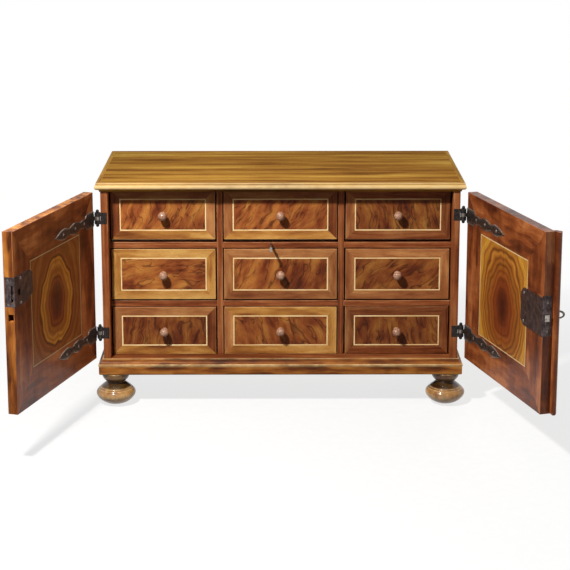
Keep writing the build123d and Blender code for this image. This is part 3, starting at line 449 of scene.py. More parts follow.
# Steel of the bolt and the catch pin: filed bright and handled, with brown spots
filedSteel = forgedMetal("filedSteel", {
    "finish": {"Metallic": 1.0}, "roughness": (0.28, 0.44), "relief": 0.12, "blow": 3, "scale": 2.6,
    "colours": [(0.3, "#5a4c42"), (0.45, "#8f8780"), (0.65, "#b3aca4"), (0.85, "#c9c3bc")],
    "bright": "#dcd8d2", "scratches": 0.4, "edges": 0.6,
})
# Cast brass, filed and dulled: brown in the hollows, gold on the edges
dullBrass = forgedMetal("dullBrass", {
    "finish": {"Metallic": 1.0}, "roughness": (0.3, 0.48), "relief": 0.1, "blow": 4, "scale": 2.6,
    "colours": [(0.3, "#6b4a1c"), (0.48, "#94702f"), (0.65, "#b08a42"), (0.85, "#c4a058")],
    "bright": "#dcbc78", "scratches": 0.3, "edges": 0.8,
})
print("materials made:", len(bpy.data.materials))


# Shapes: each is a dictionary of points (mm), faces, and per point the grain place (mm), wear with painted
# sheen, and tone

def wander(places, spacing, seed):
    # Smooth random values from -1 to 1: cosine steps between knots that lie `spacing` mm apart
    knots = np.random.default_rng(seed).uniform(-1, 1, int(np.max(places) / spacing) + 3)
    step = np.clip(places / spacing, 0, len(knots) - 2)
    index = step.astype(int)
    blend = (1 - np.cos(pi * (step - index))) / 2
    return knots[index] * (1 - blend) + knots[index + 1] * blend


def swell(places, middle, half, size):  # a bell curve: `size` high at its middle, gone about 2 * half away
    return size * np.exp(-((places - middle) / half) ** 2)


def shape(points, faces, grain, worn, tone, material):  # worn and tone: one value for all, or one a point
    count = len(points)
    return {"points": points, "faces": faces, "grain": grain, "material": material,
            "worn": np.broadcast_to(worn, count), "tone": np.broadcast_to(tone, count)}


def tubeFaces(stations, around):  # quads between the rings of a tube, and a cap at each end
    near = np.arange(around)
    far = (near + 1) % around
    start = np.arange(stations - 1)[:, None] * around
    quads = np.stack([start + near, start + far, start + around + far, start + around + near], -1)
    last = (stations - 1) * around
    return quads.reshape(-1, 4).tolist() + [near[::-1].tolist(), (last + near).tolist()]


def ringsGrain(points, along, across, through, seed):
    # The place in the log: a seeded stretch of it, some way out from the pith
    cut = np.random.default_rng(seed + 500)
    grain = np.stack([points[:, along], points[:, across], points[:, through]], -1)
    return grain + (cut.uniform(0, 6000), cut.uniform(-40, 40), cut.uniform(30, 110))


def moved(piece, matrix):  # the same shape, carried by a matrix
    points = piece["points"] @ matrix[:3, :3].T + matrix[:3, 3]
    return {**piece, "points": points}


def placed(origin, u, v, w):  # the matrix that lays u, v, w along three directions from an origin
    matrix = np.eye(4)
    matrix[:3, :3] = np.array([u, v, w], float).T
    matrix[:3, 3] = origin
    return matrix


def board(low, high, along, material, seed, arris=0.8, tone=0.0, step=18):
    # A rectangle with rounded corners carried along the grain, its corner radius wandering round `arris`. The
    # ends round over: for a from 12 to 78 degrees a side is smaller by radius * (1 - sin a), at a place
    # arris * (cos 12 - cos a) from the end
    low, high = np.array(low, float), np.array(high, float)
    size, centre = high - low, (high + low) / 2
    across, through = sorted({0, 1, 2} - {along}, key=lambda axis: -size[axis])
    lift = np.radians([12, 45, 78])
    run = np.linspace(arris, size[along] - arris, max(2, int(size[along] / step)))
    ends = arris * (np.cos(lift[0]) - np.cos(lift))
    places = np.concatenate([ends, run, size[along] - ends[::-1]])
    whole = np.ones(len(run))
    closing = np.concatenate([np.sin(lift), whole, np.sin(lift)[::-1]])
    rounding = np.concatenate([np.sin(2 * lift), 0 * whole, np.sin(2 * lift)[::-1]])
    quarter = np.radians([0, 30, 60, 90])
    points = np.zeros((len(places), 16, 3))
    points[:, :, along] = (low[along] + places)[:, None]
    for corner, (p, q) in enumerate([(1, 1), (-1, 1), (-1, -1), (1, -1)]):
        radius = arris * (1 + 0.4 * wander(places, 35, seed * 7 + corner))
        turn = quarter + corner * pi / 2
        spot = slice(corner * 4, corner * 4 + 4)
        reach = (radius * closing)[:, None]
        aside = centre[across] + p * (size[across] / 2 - radius)[:, None]
        above = centre[through] + q * (size[through] / 2 - radius)[:, None]
        points[:, spot, across] = aside + reach * np.cos(turn)
        points[:, spot, through] = above + reach * np.sin(turn)
    worn = np.maximum(np.tile(np.sin(2 * quarter), 4)[None], rounding[:, None])
    points = points.reshape(-1, 3)
    grain = ringsGrain(points - centre, along, across, through, seed)
    return shape(points, tubeFaces(len(places), 16), grain, worn.ravel(), tone, material)


def slab(outline, thick, material, seed, edge=0.12, drop=0.18, angle=0.0, tone=0.0, middle=None, wear=1.0):
    # A flat sheet from its outline, counter-clockwise in u and v, with its face at w = 0. The top edge
    # rounds over: each ring moves in by edge * (1 - cos a) and up by drop * (1 - sin a). edge may differ
    # from side to side. With a middle the grain starts there, and the second leaf mirrors the first
    outline = np.array(outline, float)
    count = len(outline)
    ahead = np.roll(outline, -1, 0) - outline
    ahead /= np.linalg.norm(ahead, axis=1)[:, None]
    after = np.stack([-ahead[:, 1], ahead[:, 0]], -1)
    before = np.roll(after, 1, 0)
    edgeAfter = np.broadcast_to(edge, count).astype(float)
    edgeBefore = np.roll(edgeAfter, 1)
    cosine = (before * after).sum(1)[:, None]
    mean, half = (edgeBefore + edgeAfter)[:, None] / 2, (edgeBefore - edgeAfter)[:, None] / 2
    step = mean * (before + after) / (1 + cosine)
    step = step + np.where(np.abs(half) > 1e-6, half * (before - after) / np.maximum(1 - cosine, 1e-3), 0)
    rings = [np.column_stack([outline, np.full(count, -thick)])]
    for a in np.radians([0, 30, 60, 90]):
        level = np.full(count, -drop * (1 - np.sin(a)))
        rings.append(np.column_stack([outline + step * (1 - np.cos(a)), level]))
    points = np.concatenate(rings)
    worn = np.repeat([0, 0.2, 1, 0.6, 0], count) * wear
    along = np.array([np.cos(angle), np.sin(angle)])
    across = np.array([-np.sin(angle), np.cos(angle)])
    place = points[:, :2] - (outline.mean(0) if middle is None else np.array(middle))
    grain = np.column_stack([place @ along, place @ across, points[:, 2]])
    if middle is None:
        cut = np.random.default_rng(seed + 900)
        grain = grain + (cut.uniform(0, 6000), cut.uniform(-60, 60), cut.uniform(25, 90))
    else:
        grain[:, 1] = np.abs(grain[:, 1])
    if np.ndim(tone):
        tone = np.interp(points[:, 0], (outline[:, 0].min(), outline[:, 0].max()), tone)
    return shape(points, tubeFaces(len(rings), count), grain, worn, tone, material)


def turned(profile, place, material, seed, segments=56, worn=0.0, tone=0.0, wobble=0.0):
    # Radius as a function of height, carried round the piece's own third axis. wobble is the share by
    # which the radius rises and falls twice, and half of it three times, in a turn
    heights, radii = np.array(profile, float).T
    angle = np.arange(segments) * 2 * pi / segments
    oval = 1 + wobble * np.cos(2 * angle + seed) + 0.5 * wobble * np.cos(3 * angle + 2 * seed)
    radius = radii[:, None] * oval
    lifted = np.repeat(heights[:, None], segments, 1)
    points = np.stack([radius * np.cos(angle), radius * np.sin(angle), lifted], -1).reshape(-1, 3)
    cut = np.random.default_rng(seed + 300)
    grain = points[:, [2, 0, 1]] + (cut.uniform(0, 6000), cut.uniform(-9, 9), cut.uniform(-9, 9))
    worn, tone = (np.repeat(np.broadcast_to(part, len(heights)), segments) for part in (worn, tone))
    return moved(shape(points, tubeFaces(len(heights), segments), grain, worn, tone, material), place)


def moulding(profile, start, end, outward, mitres, material, seed, worn=0.0, tone=0.0, uneven=0.08, step=14):
    # A closed section of (out, up) carried from start to end. At a mitred end the section runs on by its
    # own `out`. Between the ends it stands out unevenly by up to `uneven` mm
    out, up = np.array(profile, float).T
    start, end, outward = (np.array(part, float) for part in (start, end, outward))
    upward = np.array([0, 0, 1.0])
    length = np.linalg.norm(end - start)
    direction = (end - start) / length
    share = np.linspace(0, 1, max(3, int(length / step)))[:, None]
    first, last = mitres
    along = -out * first + share * (length + out * (first + last))
    drift = wander(np.repeat(share * length, len(out), 1), 60, seed)
    lean = out + uneven * drift * (out > 1) * (share > 0) * (share < 1)
    points = start + along[..., None] * direction + lean[..., None] * outward + up[:, None] * upward
    spread = [np.broadcast_to(part, along.shape) for part in (along, out, up)]
    cut = np.random.default_rng(seed + 700)
    grain = np.stack(spread, -1).reshape(-1, 3)
    grain = grain + (cut.uniform(0, 6000), cut.uniform(-20, 20), cut.uniform(20, 60))
    worn = np.tile(np.broadcast_to(worn, len(out)), len(share))
    return shape(points.reshape(-1, 3), tubeFaces(len(share), len(out)), grain, worn, tone, material)


def meshPoints(mesh, unit=mm):  # one row a point, in mm where the mesh is in metres
    points = np.zeros(len(mesh.vertices) * 3, np.float32)
    mesh.vertices.foreach_get("co", points)
    return points.reshape(-1, 3).astype(float) / unit


def cadCopy(node, material, seed, back=np.eye(4), squeeze=None, bevel=0.3, tone=0.0):
    # The CAD node's own shape, merged and with its arrises eased, its grain upright. back carries it to where
    # its faces lie along the axes. squeeze = (axis, low, high) pulls faces in, to leave room for veneer
    copy = nodes[node].data.copy()
    points = meshPoints(copy) @ back[:3, :3].T + back[:3, 3]
    if squeeze:
        axis, low, high = squeeze
        points[:, axis] = np.clip(points[:, axis], low, high)
    copy.vertices.foreach_set("co", points.astype(np.float32).ravel())
    work = bmesh.new()
    work.from_mesh(copy)
    bmesh.ops.remove_doubles(work, verts=work.verts, dist=0.002)
    bmesh.ops.dissolve_limit(work, angle_limit=radians(1), verts=work.verts, edges=work.edges)
    sharp = [edge for edge in work.edges
             if len(edge.link_faces) == 2 and edge.calc_face_angle() > radians(35)]
    bmesh.ops.bevel(work, geom=sharp, offset=bevel, segments=2, profile=0.5, affect="EDGES",
                    clamp_overlap=True)
    work.to_mesh(copy)
    work.free()
    points = meshPoints(copy, unit=1)
    faces = [list(face.vertices) for face in copy.polygons]
    bpy.data.meshes.remove(copy)
    middle = (points.max(0) + points.min(0)) / 2
    grain = ringsGrain(points - middle, 2, 0, 1, seed)
    return moved(shape(points, faces, grain, 0.0, tone, material), np.linalg.inv(back))


def makePiece(name, shapes, replaced, smooth=38):
    # Joins shapes into one object that stands for a CAD node. Edges sharper than `smooth` degrees stay sharp
    materials = list(dict.fromkeys(part["material"] for part in shapes))
    starts = np.cumsum([0] + [len(part["points"]) for part in shapes]).tolist()
    faces = [[start + i for i in face] for start, part in zip(starts, shapes) for face in part["faces"]]
    indexes = [materials.index(part["material"]) for part in shapes for _ in part["faces"]]
    mesh = bpy.data.meshes.new(name)
    mesh.from_pydata((np.concatenate([part["points"] for part in shapes]) * mm).tolist(), [], faces)
    work = bmesh.new()
    work.from_mesh(mesh)
    bmesh.ops.recalc_face_normals(work, faces=work.faces)
    work.to_mesh(mesh)
    work.free()
    for attribute, kind, key in (("grain", "FLOAT_VECTOR", "vector"), ("worn", "FLOAT", "value"),
                                 ("tone", "FLOAT", "value")):
        values = np.concatenate([part[attribute] for part in shapes]).astype(np.float32)
        mesh.attributes.new(attribute, kind, "POINT").data.foreach_set(key, values.ravel())
    for material in materials:
        mesh.materials.append(material)
    mesh.polygons.foreach_set("material_index", indexes)
    mesh.polygons.foreach_set("use_smooth", [True] * len(mesh.polygons))
    mesh.set_sharp_from_angle(angle=radians(smooth))
    made = bpy.data.objects.new(name, mesh)
    bpy.context.scene.collection.objects.link(made)
    made.modifiers.new("weightedNormals", "WEIGHTED_NORMAL").keep_sharp = True
    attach(made, nodes[replaced]["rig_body"])
    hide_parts(replaced)


def extent(node, back=np.eye(4)):  # lowest and highest corner of a CAD node in mm, once back has carried it
    points = meshPoints(nodes[node].data) @ back[:3, :3].T + back[:3, 3]
    return points.min(0), points.max(0)


def shutToRest(door):  # the turn, in mm, that carries a door from shut to where it stands
    joint = joints[door]
    turn = np.array(Matrix.Rotation(radians(-joint["range_deg"][0]), 4, Vector(joint["axis"])))
    pivot = np.array(joint["pos_m"]) / mm
    turn[:3, 3] = pivot - turn[:3, :3] @ pivot
    return turn


# Veneered faces

def mitredStrips(left, right, bottom, top, width, holes=()):
    # Border strips of a rectangle, mitred where they meet, each as its corners, direction of grain and side.
    # The upright strips are cut into bands round the holes in them. A hole is (left, right, bottom, top)
    strips = [
        ([(left, bottom), (right, bottom), (right - width, bottom + width), (left + width, bottom + width)],
         0.0, "bottom"),
        ([(right, top), (left, top), (left + width, top - width), (right - width, top - width)], 0.0, "top"),
    ]
    for side, outer, inner in (("left", left, left + width), ("right", right, right - width)):
        mine = [hole for hole in holes if min(outer, inner) < (hole[0] + hole[1]) / 2 < max(outer, inner)]
        levels = sorted({level for hole in mine for level in hole[2:]})
        edges = [bottom + width, *levels, top - width]
        for index, (low, high) in enumerate(zip(edges, edges[1:])):
            gaps = sorted(hole[:2] for hole in mine if hole[2] <= low and hole[3] >= high)
            ends = [min(outer, inner), *[x for gap in gaps for x in gap], max(outer, inner)]
            for start, stop in zip(ends[::2], ends[1::2]):
                if stop - start < 0.4:  # a sliver beside a hole is left out
                    continue
                corners = [(start, low), (stop, low), (stop, high), (start, high)]
                if index == 0:
                    corners[0 if side == "left" else 1] = (outer, bottom)
                if index == len(edges) - 2:
                    corners[3 if side == "left" else 2] = (outer, top)
                strips.append((corners, pi / 2, side))
    return strips


def veneeredFace(left, right, bottom, top, look, place, seed, holes=(), tones=(0.0, 0.0), heart=0.0):
    # Border strips, a frame of stringing, and one or two leaves of figured veneer, laid on a face. tones: at
    # the field's left and right. heart: how far the middle of the figure lies over the middle of the leaves
    sheet, width, line = look["sheet"], look["border"], look["line"]
    pieces = []
    for index, (corners, angle, side) in enumerate(mitredStrips(left, right, bottom, top, width, holes)):
        corners = np.array(corners, float)
        centre = (corners + np.roll(corners, -1, 0)) / 2
        fromEdge = np.abs(centre[:, [0, 0, 1, 1]] - (left, right, bottom, top)).min(1)
        edge = np.where(fromEdge < 0.01, look["arris"], 0.1)
        wood, tone = look["borders"].get(side, look["borders"]["all"])
        tone = tone + np.random.default_rng(seed * 31 + index).uniform(-0.06, 0.06)
        pieces.append(slab(corners, sheet, wood, seed * 40 + index, edge=edge, drop=look["drop"], angle=angle,
                           tone=tone))
    left, right, bottom, top = left + width, right - width, bottom + width, top - width
    for index, (corners, angle, _) in enumerate(mitredStrips(left, right, bottom, top, line)):
        pieces.append(slab(corners, sheet, stringing, seed * 50 + index, edge=0.08, drop=0.08, angle=angle,
                           tone=look["lineTone"], wear=0.3))
    left, right, bottom, top = left + line, right - line, bottom + line, top - line
    middle = ((left + right) / 2, (bottom + top) / 2 + heart) if look["leaves"] > 1 else None
    splits = np.linspace(left, right, look["leaves"] + 1)
    for index, (start, stop) in enumerate(zip(splits, splits[1:])):
        corners = [(start, bottom), (stop, bottom), (stop, top), (start, top)]
        pieces.append(slab(corners, sheet, look["fieldWood"], seed * 60 + index, edge=0.08, drop=0.08,
                           angle=look["fieldAngle"], tone=tones, middle=middle, wear=0.2))
    return [moved(piece, place) for piece in pieces]


# Case

# topTones: at the front and the back. topEnd: what the left end adds, fading over topFade
caseLook = {
    "arris": 0.9, "lipping": 14, "rail": 10, "ledgeLip": 6, "batten": 40,
    "topArris": 0.35, "topTones": (0.12, -0.08), "topEnd": -0.16, "topFade": 120,
    "planks": 3, "plankShifts": (0, 6, -9, 0), "plankGap": 0.15, "plankTones": (-0.06, 0.05, -0.02),
}
topLow, topHigh = extent("top_board")
topBoard = board(topLow, topHigh, 0, topWalnut, 11, arris=caseLook["topArris"])
topBoard["tone"] = np.interp(topBoard["points"][:, 1], (topLow[1], topHigh[1]), caseLook["topTones"])
fromEnd = topBoard["points"][:, 0] - topLow[0]
topBoard["tone"] += np.interp(fromEnd, (0, caseLook["topFade"]), (caseLook["topEnd"], 0))
makePiece("top_board_waxed", [topBoard], "top_board")

halfWidth = topHigh[0]
sideLow, sideHigh = extent("left_side")
frontFace, backFace = topLow[1], sideHigh[1]
ledge, ceiling = sideLow[2], sideHigh[2]


def threeSides(profile, backEdge, material, seed, worn, tones, uneven):
    # A moulding along the left side, the front and the right side, mitred at the front corners
    runs = [
        ((-halfWidth, backEdge, 0), (-halfWidth, frontFace, 0), (-1, 0, 0), (0, 1)),
        ((-halfWidth, frontFace, 0), (halfWidth, frontFace, 0), (0, -1, 0), (1, 1)),
        ((halfWidth, frontFace, 0), (halfWidth, backEdge, 0), (1, 0, 0), (1, 0)),
    ]
    return [moulding(profile, start, end, outward, mitres, material, seed + index, worn=worn,
                     tone=tones[index], uneven=uneven)
            for index, (start, end, outward, mitres) in enumerate(runs)]


# Top moulding: a rounded lip, a quirk, a half-round nose and a small cove
noseLook = {
    "lip": 7, "lipDrop": 2.9, "round": 1.1, "quirk": 6.4, "out": 9, "nose": 4.4, "coveFoot": 1.5,
    "coveHead": 4, "lipWear": (0.3, 0.7, 1, 0.9, 0.5), "quirkWear": (0.4, 0), "tones": (-0.1, 0.12, -0.1),
    "uneven": 0.06,
}
topEdge = topHigh[2]
lipLow = topEdge - noseLook["lipDrop"]
lipTurn = np.linspace(pi / 2, 0, len(noseLook["lipWear"]))
lipCentre = np.array([noseLook["lip"] - noseLook["round"], topEdge - noseLook["round"]])
lip = lipCentre + noseLook["round"] * np.column_stack([np.cos(lipTurn), np.sin(lipTurn)])
noseCentre = np.array([noseLook["out"] - noseLook["nose"], lipLow - noseLook["nose"]])
quirkTurn = np.arccos((noseLook["quirk"] - noseCentre[0]) / noseLook["nose"])
noseTurn = np.linspace(quirkTurn, -pi / 2, 13)
nose = noseCentre + noseLook["nose"] * np.column_stack([np.cos(noseTurn), np.sin(noseTurn)])
noseLow = nose[-1, 1]
coveTurn = np.linspace(0, pi / 2, 6)
coveWidth = noseLook["coveHead"] - noseLook["coveFoot"]
cove = np.column_stack([noseLook["coveHead"] - coveWidth * np.sin(coveTurn),
                        noseLow - (noseLow - ceiling) * (1 - np.cos(coveTurn))])
behindLip = [(0, ceiling), (0, topEdge - 0.3), (0.35, topEdge - 0.02), (1.5, topEdge)]
quirk = [(noseLook["lip"], lipLow), (noseLook["quirk"], lipLow - 0.2)]
topProfile = np.concatenate([behindLip, lip, quirk, nose, cove])
# The nose is rubbed most where it stands out furthest; its pale band there is partly wear and partly a
# painted highlight
noseWearAndSheen = np.clip(np.cos(np.linspace(0.9, -1.5, len(nose))), 0, 1)
topWearAndSheen = np.concatenate([np.zeros(len(behindLip)), noseLook["lipWear"], noseLook["quirkWear"], noseWearAndSheen,
                          np.zeros(len(cove))])
makePiece("top_mouldings_waxed", threeSides(
    topProfile, topHigh[1], topWalnut, 21, topWearAndSheen, noseLook["tones"], noseLook["uneven"],
), "top_mouldings", smooth=50)

# Base moulding: a cove down to a fillet, over a plain fascia with a worn lower arris
baseLook = {
    "start": 2.5, "end": 7.5, "coveDrop": 8.5, "out": 9, "filletRound": 0.5, "filletDrop": 11,
    "fascia": 8.2, "fasciaDrop": 12.8, "arris": 2.6, "tones": (0.0, 0.0, 0.0), "uneven": 0.08,
}
baseLow = extent("plinth_mouldings")[0][2]
baseTurn = np.linspace(0, pi / 2, 8)
baseCove = np.column_stack([baseLook["end"] - (baseLook["end"] - baseLook["start"]) * np.cos(baseTurn),
                            ledge - baseLook["coveDrop"] * np.sin(baseTurn)])
filletTop, filletOut, rounding = ledge - baseLook["coveDrop"], baseLook["out"], baseLook["filletRound"]
fillet = [(filletOut - rounding, filletTop), (filletOut, filletTop - rounding),
          (filletOut, ledge - baseLook["filletDrop"])]
fasciaTop, fasciaOut = ledge - baseLook["fasciaDrop"], baseLook["fascia"]
arrisTurn = np.linspace(0, pi / 2, 6)
baseArris = np.column_stack([fasciaOut - baseLook["arris"] * (1 - np.cos(arrisTurn)),
                             baseLow + baseLook["arris"] * (1 - np.sin(arrisTurn))])
baseProfile = np.concatenate([
    [(0, ledge)], baseCove, fillet, [(fasciaOut, fasciaTop), (fasciaOut, fasciaTop - 1.4)], baseArris,
    [(0, baseLow)],
])
# Rubbed at the head and foot of the cove, all over the fillet, and on the lower arris; the pale fillet is
# partly wear and partly a painted highlight
baseWearAndSheen = np.zeros(len(baseProfile))
baseWearAndSheen[[1, 8, 9, 10, 11, 12, 16, 17]] = (0.7, 0.2, 1, 1, 0.9, 0.4, 0.5, 0.4)
makePiece("plinth_mouldings_waxed", threeSides(
    baseProfile, backFace, mouldingWalnut, 31, baseWearAndSheen, baseLook["tones"], baseLook["uneven"],
), "plinth_mouldings", smooth=35)

# Sides: walnut boards with the hinge leaves let in, veneered outside in a border, stringing and two leaves
sideLook = {
    "sheet": 0.6, "border": 34, "line": 2, "lineTone": -0.15, "leaves": 2, "arris": 0.7, "drop": 0.35,
    "borders": {"all": (caseWalnut, 0.0)}, "fieldWood": figuredWalnut, "fieldAngle": pi / 2,
    "fieldTones": (-0.1, 0.05),
}
for side, node in ((-1, "left_side"), (1, "right_side")):
    low, high = extent(node)
    skinFace = high[0] if side > 0 else low[0]
    sheet = sideLook["sheet"]
    inside = (low[0], high[0] - sheet) if side > 0 else (low[0] + sheet, high[0])
    core = cadCopy(node, caseWalnut, 41 + side, squeeze=(0, *inside), bevel=0.4)
    place = placed((skinFace, 0, 0), (0, 1, 0), (0, 0, 1), (side, 0, 0))
    face = veneeredFace(low[1] + 0.05, high[1], low[2], high[2], sideLook, place, 43 + side,
                        tones=sideLook["fieldTones"])
    makePiece(node + "_veneered", [core, *face], node)

# Partitions, rails and the base's ledge show walnut in front, over pine
for node, seed in (("left_partition", 51), ("right_partition", 52)):
    low, high = extent(node)
    lipping = low[1] + caseLook["lipping"]
    makePiece(node + "_lipped", [
        board(low, (high[0], lipping, high[2]), 2, caseWalnut, seed, arris=caseLook["arris"], tone=0.04),
        board((low[0] + 0.05, lipping, low[2]), high - (0.05, 0, 0), 2, agedPine, seed + 5, arris=0.4),
    ], node)

railLow, railHigh = extent("drawer_rails")
(leftStart, _, _), (leftEnd, _, _) = extent("left_partition")
(rightStart, _, _), (rightEnd, _, _) = extent("right_partition")
columns = ((railLow[0], leftStart), (leftEnd, rightStart), (rightEnd, railHigh[0]))
levels = (railLow[2], railHigh[2] - caseLook["rail"])
spans = [(left, right, level) for level in levels for left, right in columns]
for name, node, material, seed, arris, tone, slotName in (
    ("drawer_rails_waxed", "drawer_rails", caseWalnut, 60, caseLook["arris"], 0.1, "walnut"),
    ("drawer_shelves_planed", "drawer_shelves", agedPine, 70, 0.3, 0.0, "pine"),
):
    low, high = extent(node)
    makePiece(name, [
        board((left, low[1], level), (right, high[1], level + caseLook["rail"]), 0, material, seed + index,
              arris=arris, tone=tone)
        for index, (left, right, level) in enumerate(spans)
    ], node)

low, high = extent("bottom_board")
ledgeBack = railLow[1] + caseLook["ledgeLip"]
makePiece("bottom_board_lipped", [
    board(low, (high[0], ledgeBack, high[2]), 0, caseWalnut, 81, arris=caseLook["arris"], tone=-0.12),
    board((low[0], ledgeBack, low[2]), high, 0, agedPine, 82, arris=0.3),
], "bottom_board")
low, high = extent("foot_battens")
battens = ((82, low[0], low[0] + caseLook["batten"]), (84, high[0] - caseLook["batten"], high[0]))
makePiece("foot_battens_planed", [
    board((left, low[1], low[2]), (right, high[1], high[2]), 1, agedPine, seed, arris=0.6)
    for seed, left, right in battens
], "foot_battens")
low, high = extent("back_panel")
cuts = np.linspace(low[2], high[2], caseLook["planks"] + 1) + caseLook["plankShifts"]
gap = caseLook["plankGap"]
makePiece("back_panel_planks", [
    board((low[0], low[1], bottom + gap), (high[0], high[1], top - gap), 0, agedPine, 90 + index, arris=0.9,
          tone=caseLook["plankTones"][index])
    for index, (bottom, top) in enumerate(zip(cuts, cuts[1:]))
], "back_panel")
print("case made")

# Feet: the CAD profile, with two incised rings above the belly and a bead under the collar.
# bellyWearAndSheen,
# # hollowShade and shoulderShade are (middle, half, size) of a swell; ringHighlight is the same, with its
# middle over
# # the ring. hollowShade, shoulderShade and cup darken the foot as painted shade under the fascia;
# ringHighlight is
# # a painted highlight, and the belly's rubbed band is partly wear and partly a painted highlight
footLook = {
    "samples": 110, "inset": 0.12, "sole": 1.2, "wobble": 0.0015, "collar": 3, "bead": 0.9, "beadPoints": 7,
    "rings": (29.3, 26.4), "ringDepth": 0.75, "ringHalf": 0.6,
    "bellyWearAndSheen": (17, 6, 0.75), "ringHighlight": (1.2, 0.7, 0.7), "beadWear": 0.3,
    "hollowShade": (37.5, 4.5, -0.8), "shoulderShade": (34, 4, -0.6), "cupStart": 40.5, "cup": -0.5, "deepestShade": -0.8,
}
footTop = baseLow - footLook["collar"]


def footProfile(node):  # heights and radii read from the CAD foot below its collar, and its centre
    points = meshPoints(nodes[node].data)
    centre = (points.min(0) + points.max(0)) / 2
    radius = np.hypot(points[:, 0] - centre[0], points[:, 1] - centre[1])
    body = points[:, 2] < footTop + 0.01
    heights = np.round(points[body, 2], 2)
    levels = np.unique(heights)
    radii = np.array([radius[body][heights == level].max() for level in levels])
    return levels, radii, centre


for index, node in enumerate(("front_left_foot", "front_right_foot", "rear_left_foot", "rear_right_foot")):
    levels, radii, centre = footProfile(node)
    heights = np.linspace(0, footTop, footLook["samples"])
    radius = np.interp(heights, levels, radii)
    # The rubbed band on the belly is partly wear and partly a painted highlight; the pale line over each ring
    # is a painted highlight
    worn = swell(heights, *footLook["bellyWearAndSheen"])
    over, half, bright = footLook["ringHighlight"]
    for ring in footLook["rings"]:
        radius = radius - swell(heights, ring, footLook["ringHalf"], footLook["ringDepth"])
        worn = worn + swell(heights, ring + over, half, bright)
    radius[0] -= footLook["sole"]
    radius = radius - footLook["inset"]
    bead = np.linspace(0, 1, footLook["beadPoints"])
    beadHeights = footTop + footLook["collar"] * bead
    beadRadius = np.interp(footTop, levels, radii) - footLook["bead"] * (2 * bead - 1) ** 4
    heights, radius = np.concatenate([heights, beadHeights]), np.concatenate([radius, beadRadius])
    worn = np.concatenate([worn, np.full(len(bead), footLook["beadWear"])])
    # Painted shade: darker in the hollow over the ball, and on the cup over it, under the fascia
    tone = swell(heights, *footLook["hollowShade"]) + swell(heights, *footLook["shoulderShade"])
    tone = np.maximum(tone + footLook["cup"] * (heights > footLook["cupStart"]), footLook["deepestShade"])
    place = placed((centre[0], centre[1], 0), (1, 0, 0), (0, 1, 0), (0, 0, 1))
    profile = np.column_stack([heights, radius])
    foot = turned(profile, place, turnedWalnut, 100 + index, segments=72, worn=worn, tone=tone,
                  wobble=footLook["wobble"])
    makePiece(node + "_turned", [foot], node, smooth=60)

# Drawers
drawerLook = {
    "sheet": 0.6, "border": 15, "line": 2, "lineTone": 0.0, "leaves": 1, "arris": 0.75, "drop": 0.4,
    "fieldWood": figuredWalnut, "side": 8, "bottom": 6, "backDrop": 1.5, "shadeFilm": 0.25, "shadeFilmDrop": 5,
}
# Direction of the figure in degrees, tone at the left and right of the field, wood and tone of the strips
drawerFigures = {
    # In top_left and top_middle the darker top strip is painted shade under the top's overhang
    "top_left": (70, (0.16, -0.12), {"all": (goldenWalnut, 0.08), "top": (brownWalnut, -0.1),
                                     "left": (caseWalnut, -0.1), "right": (brownWalnut, 0.05)}),
    "top_middle": (58, (0.12, -0.06), {"all": (goldenWalnut, 0.1), "top": (brownWalnut, -0.1),
                                       "right": (caseWalnut, -0.16), "left": (brownWalnut, 0.0)}),
    "top_right": (104, (-0.3, -0.36), {"all": (caseWalnut, -0.06), "left": (brownWalnut, 0.0),
                                       "right": (caseWalnut, -0.3)}),
    "middle_left": (8, (0.0, -0.06), {"all": (goldenWalnut, 0.02)}),
    "middle_middle": (64, (0.08, -0.22), {"all": (brownWalnut, -0.02)}),
    "middle_right": (40, (-0.3, -0.2), {"all": (brownWalnut, 0.1)}),
    # In bottom_left and bottom_right the darker field and strips are painted shade, as cast by the drawers
    # above when drawn out
    "bottom_left": (84, (-0.3, -0.36), {"all": (brownWalnut, -0.1), "bottom": (goldenWalnut, -0.06),
                                        "right": (caseWalnut, -0.16)}),
    "bottom_middle": (118, (-0.12, -0.16), {"all": (goldenWalnut, 0.0), "left": (brownWalnut, 0.05)}),
    "bottom_right": (96, (-0.32, -0.36), {"all": (caseWalnut, -0.2), "left": (brownWalnut, -0.16)}),
}
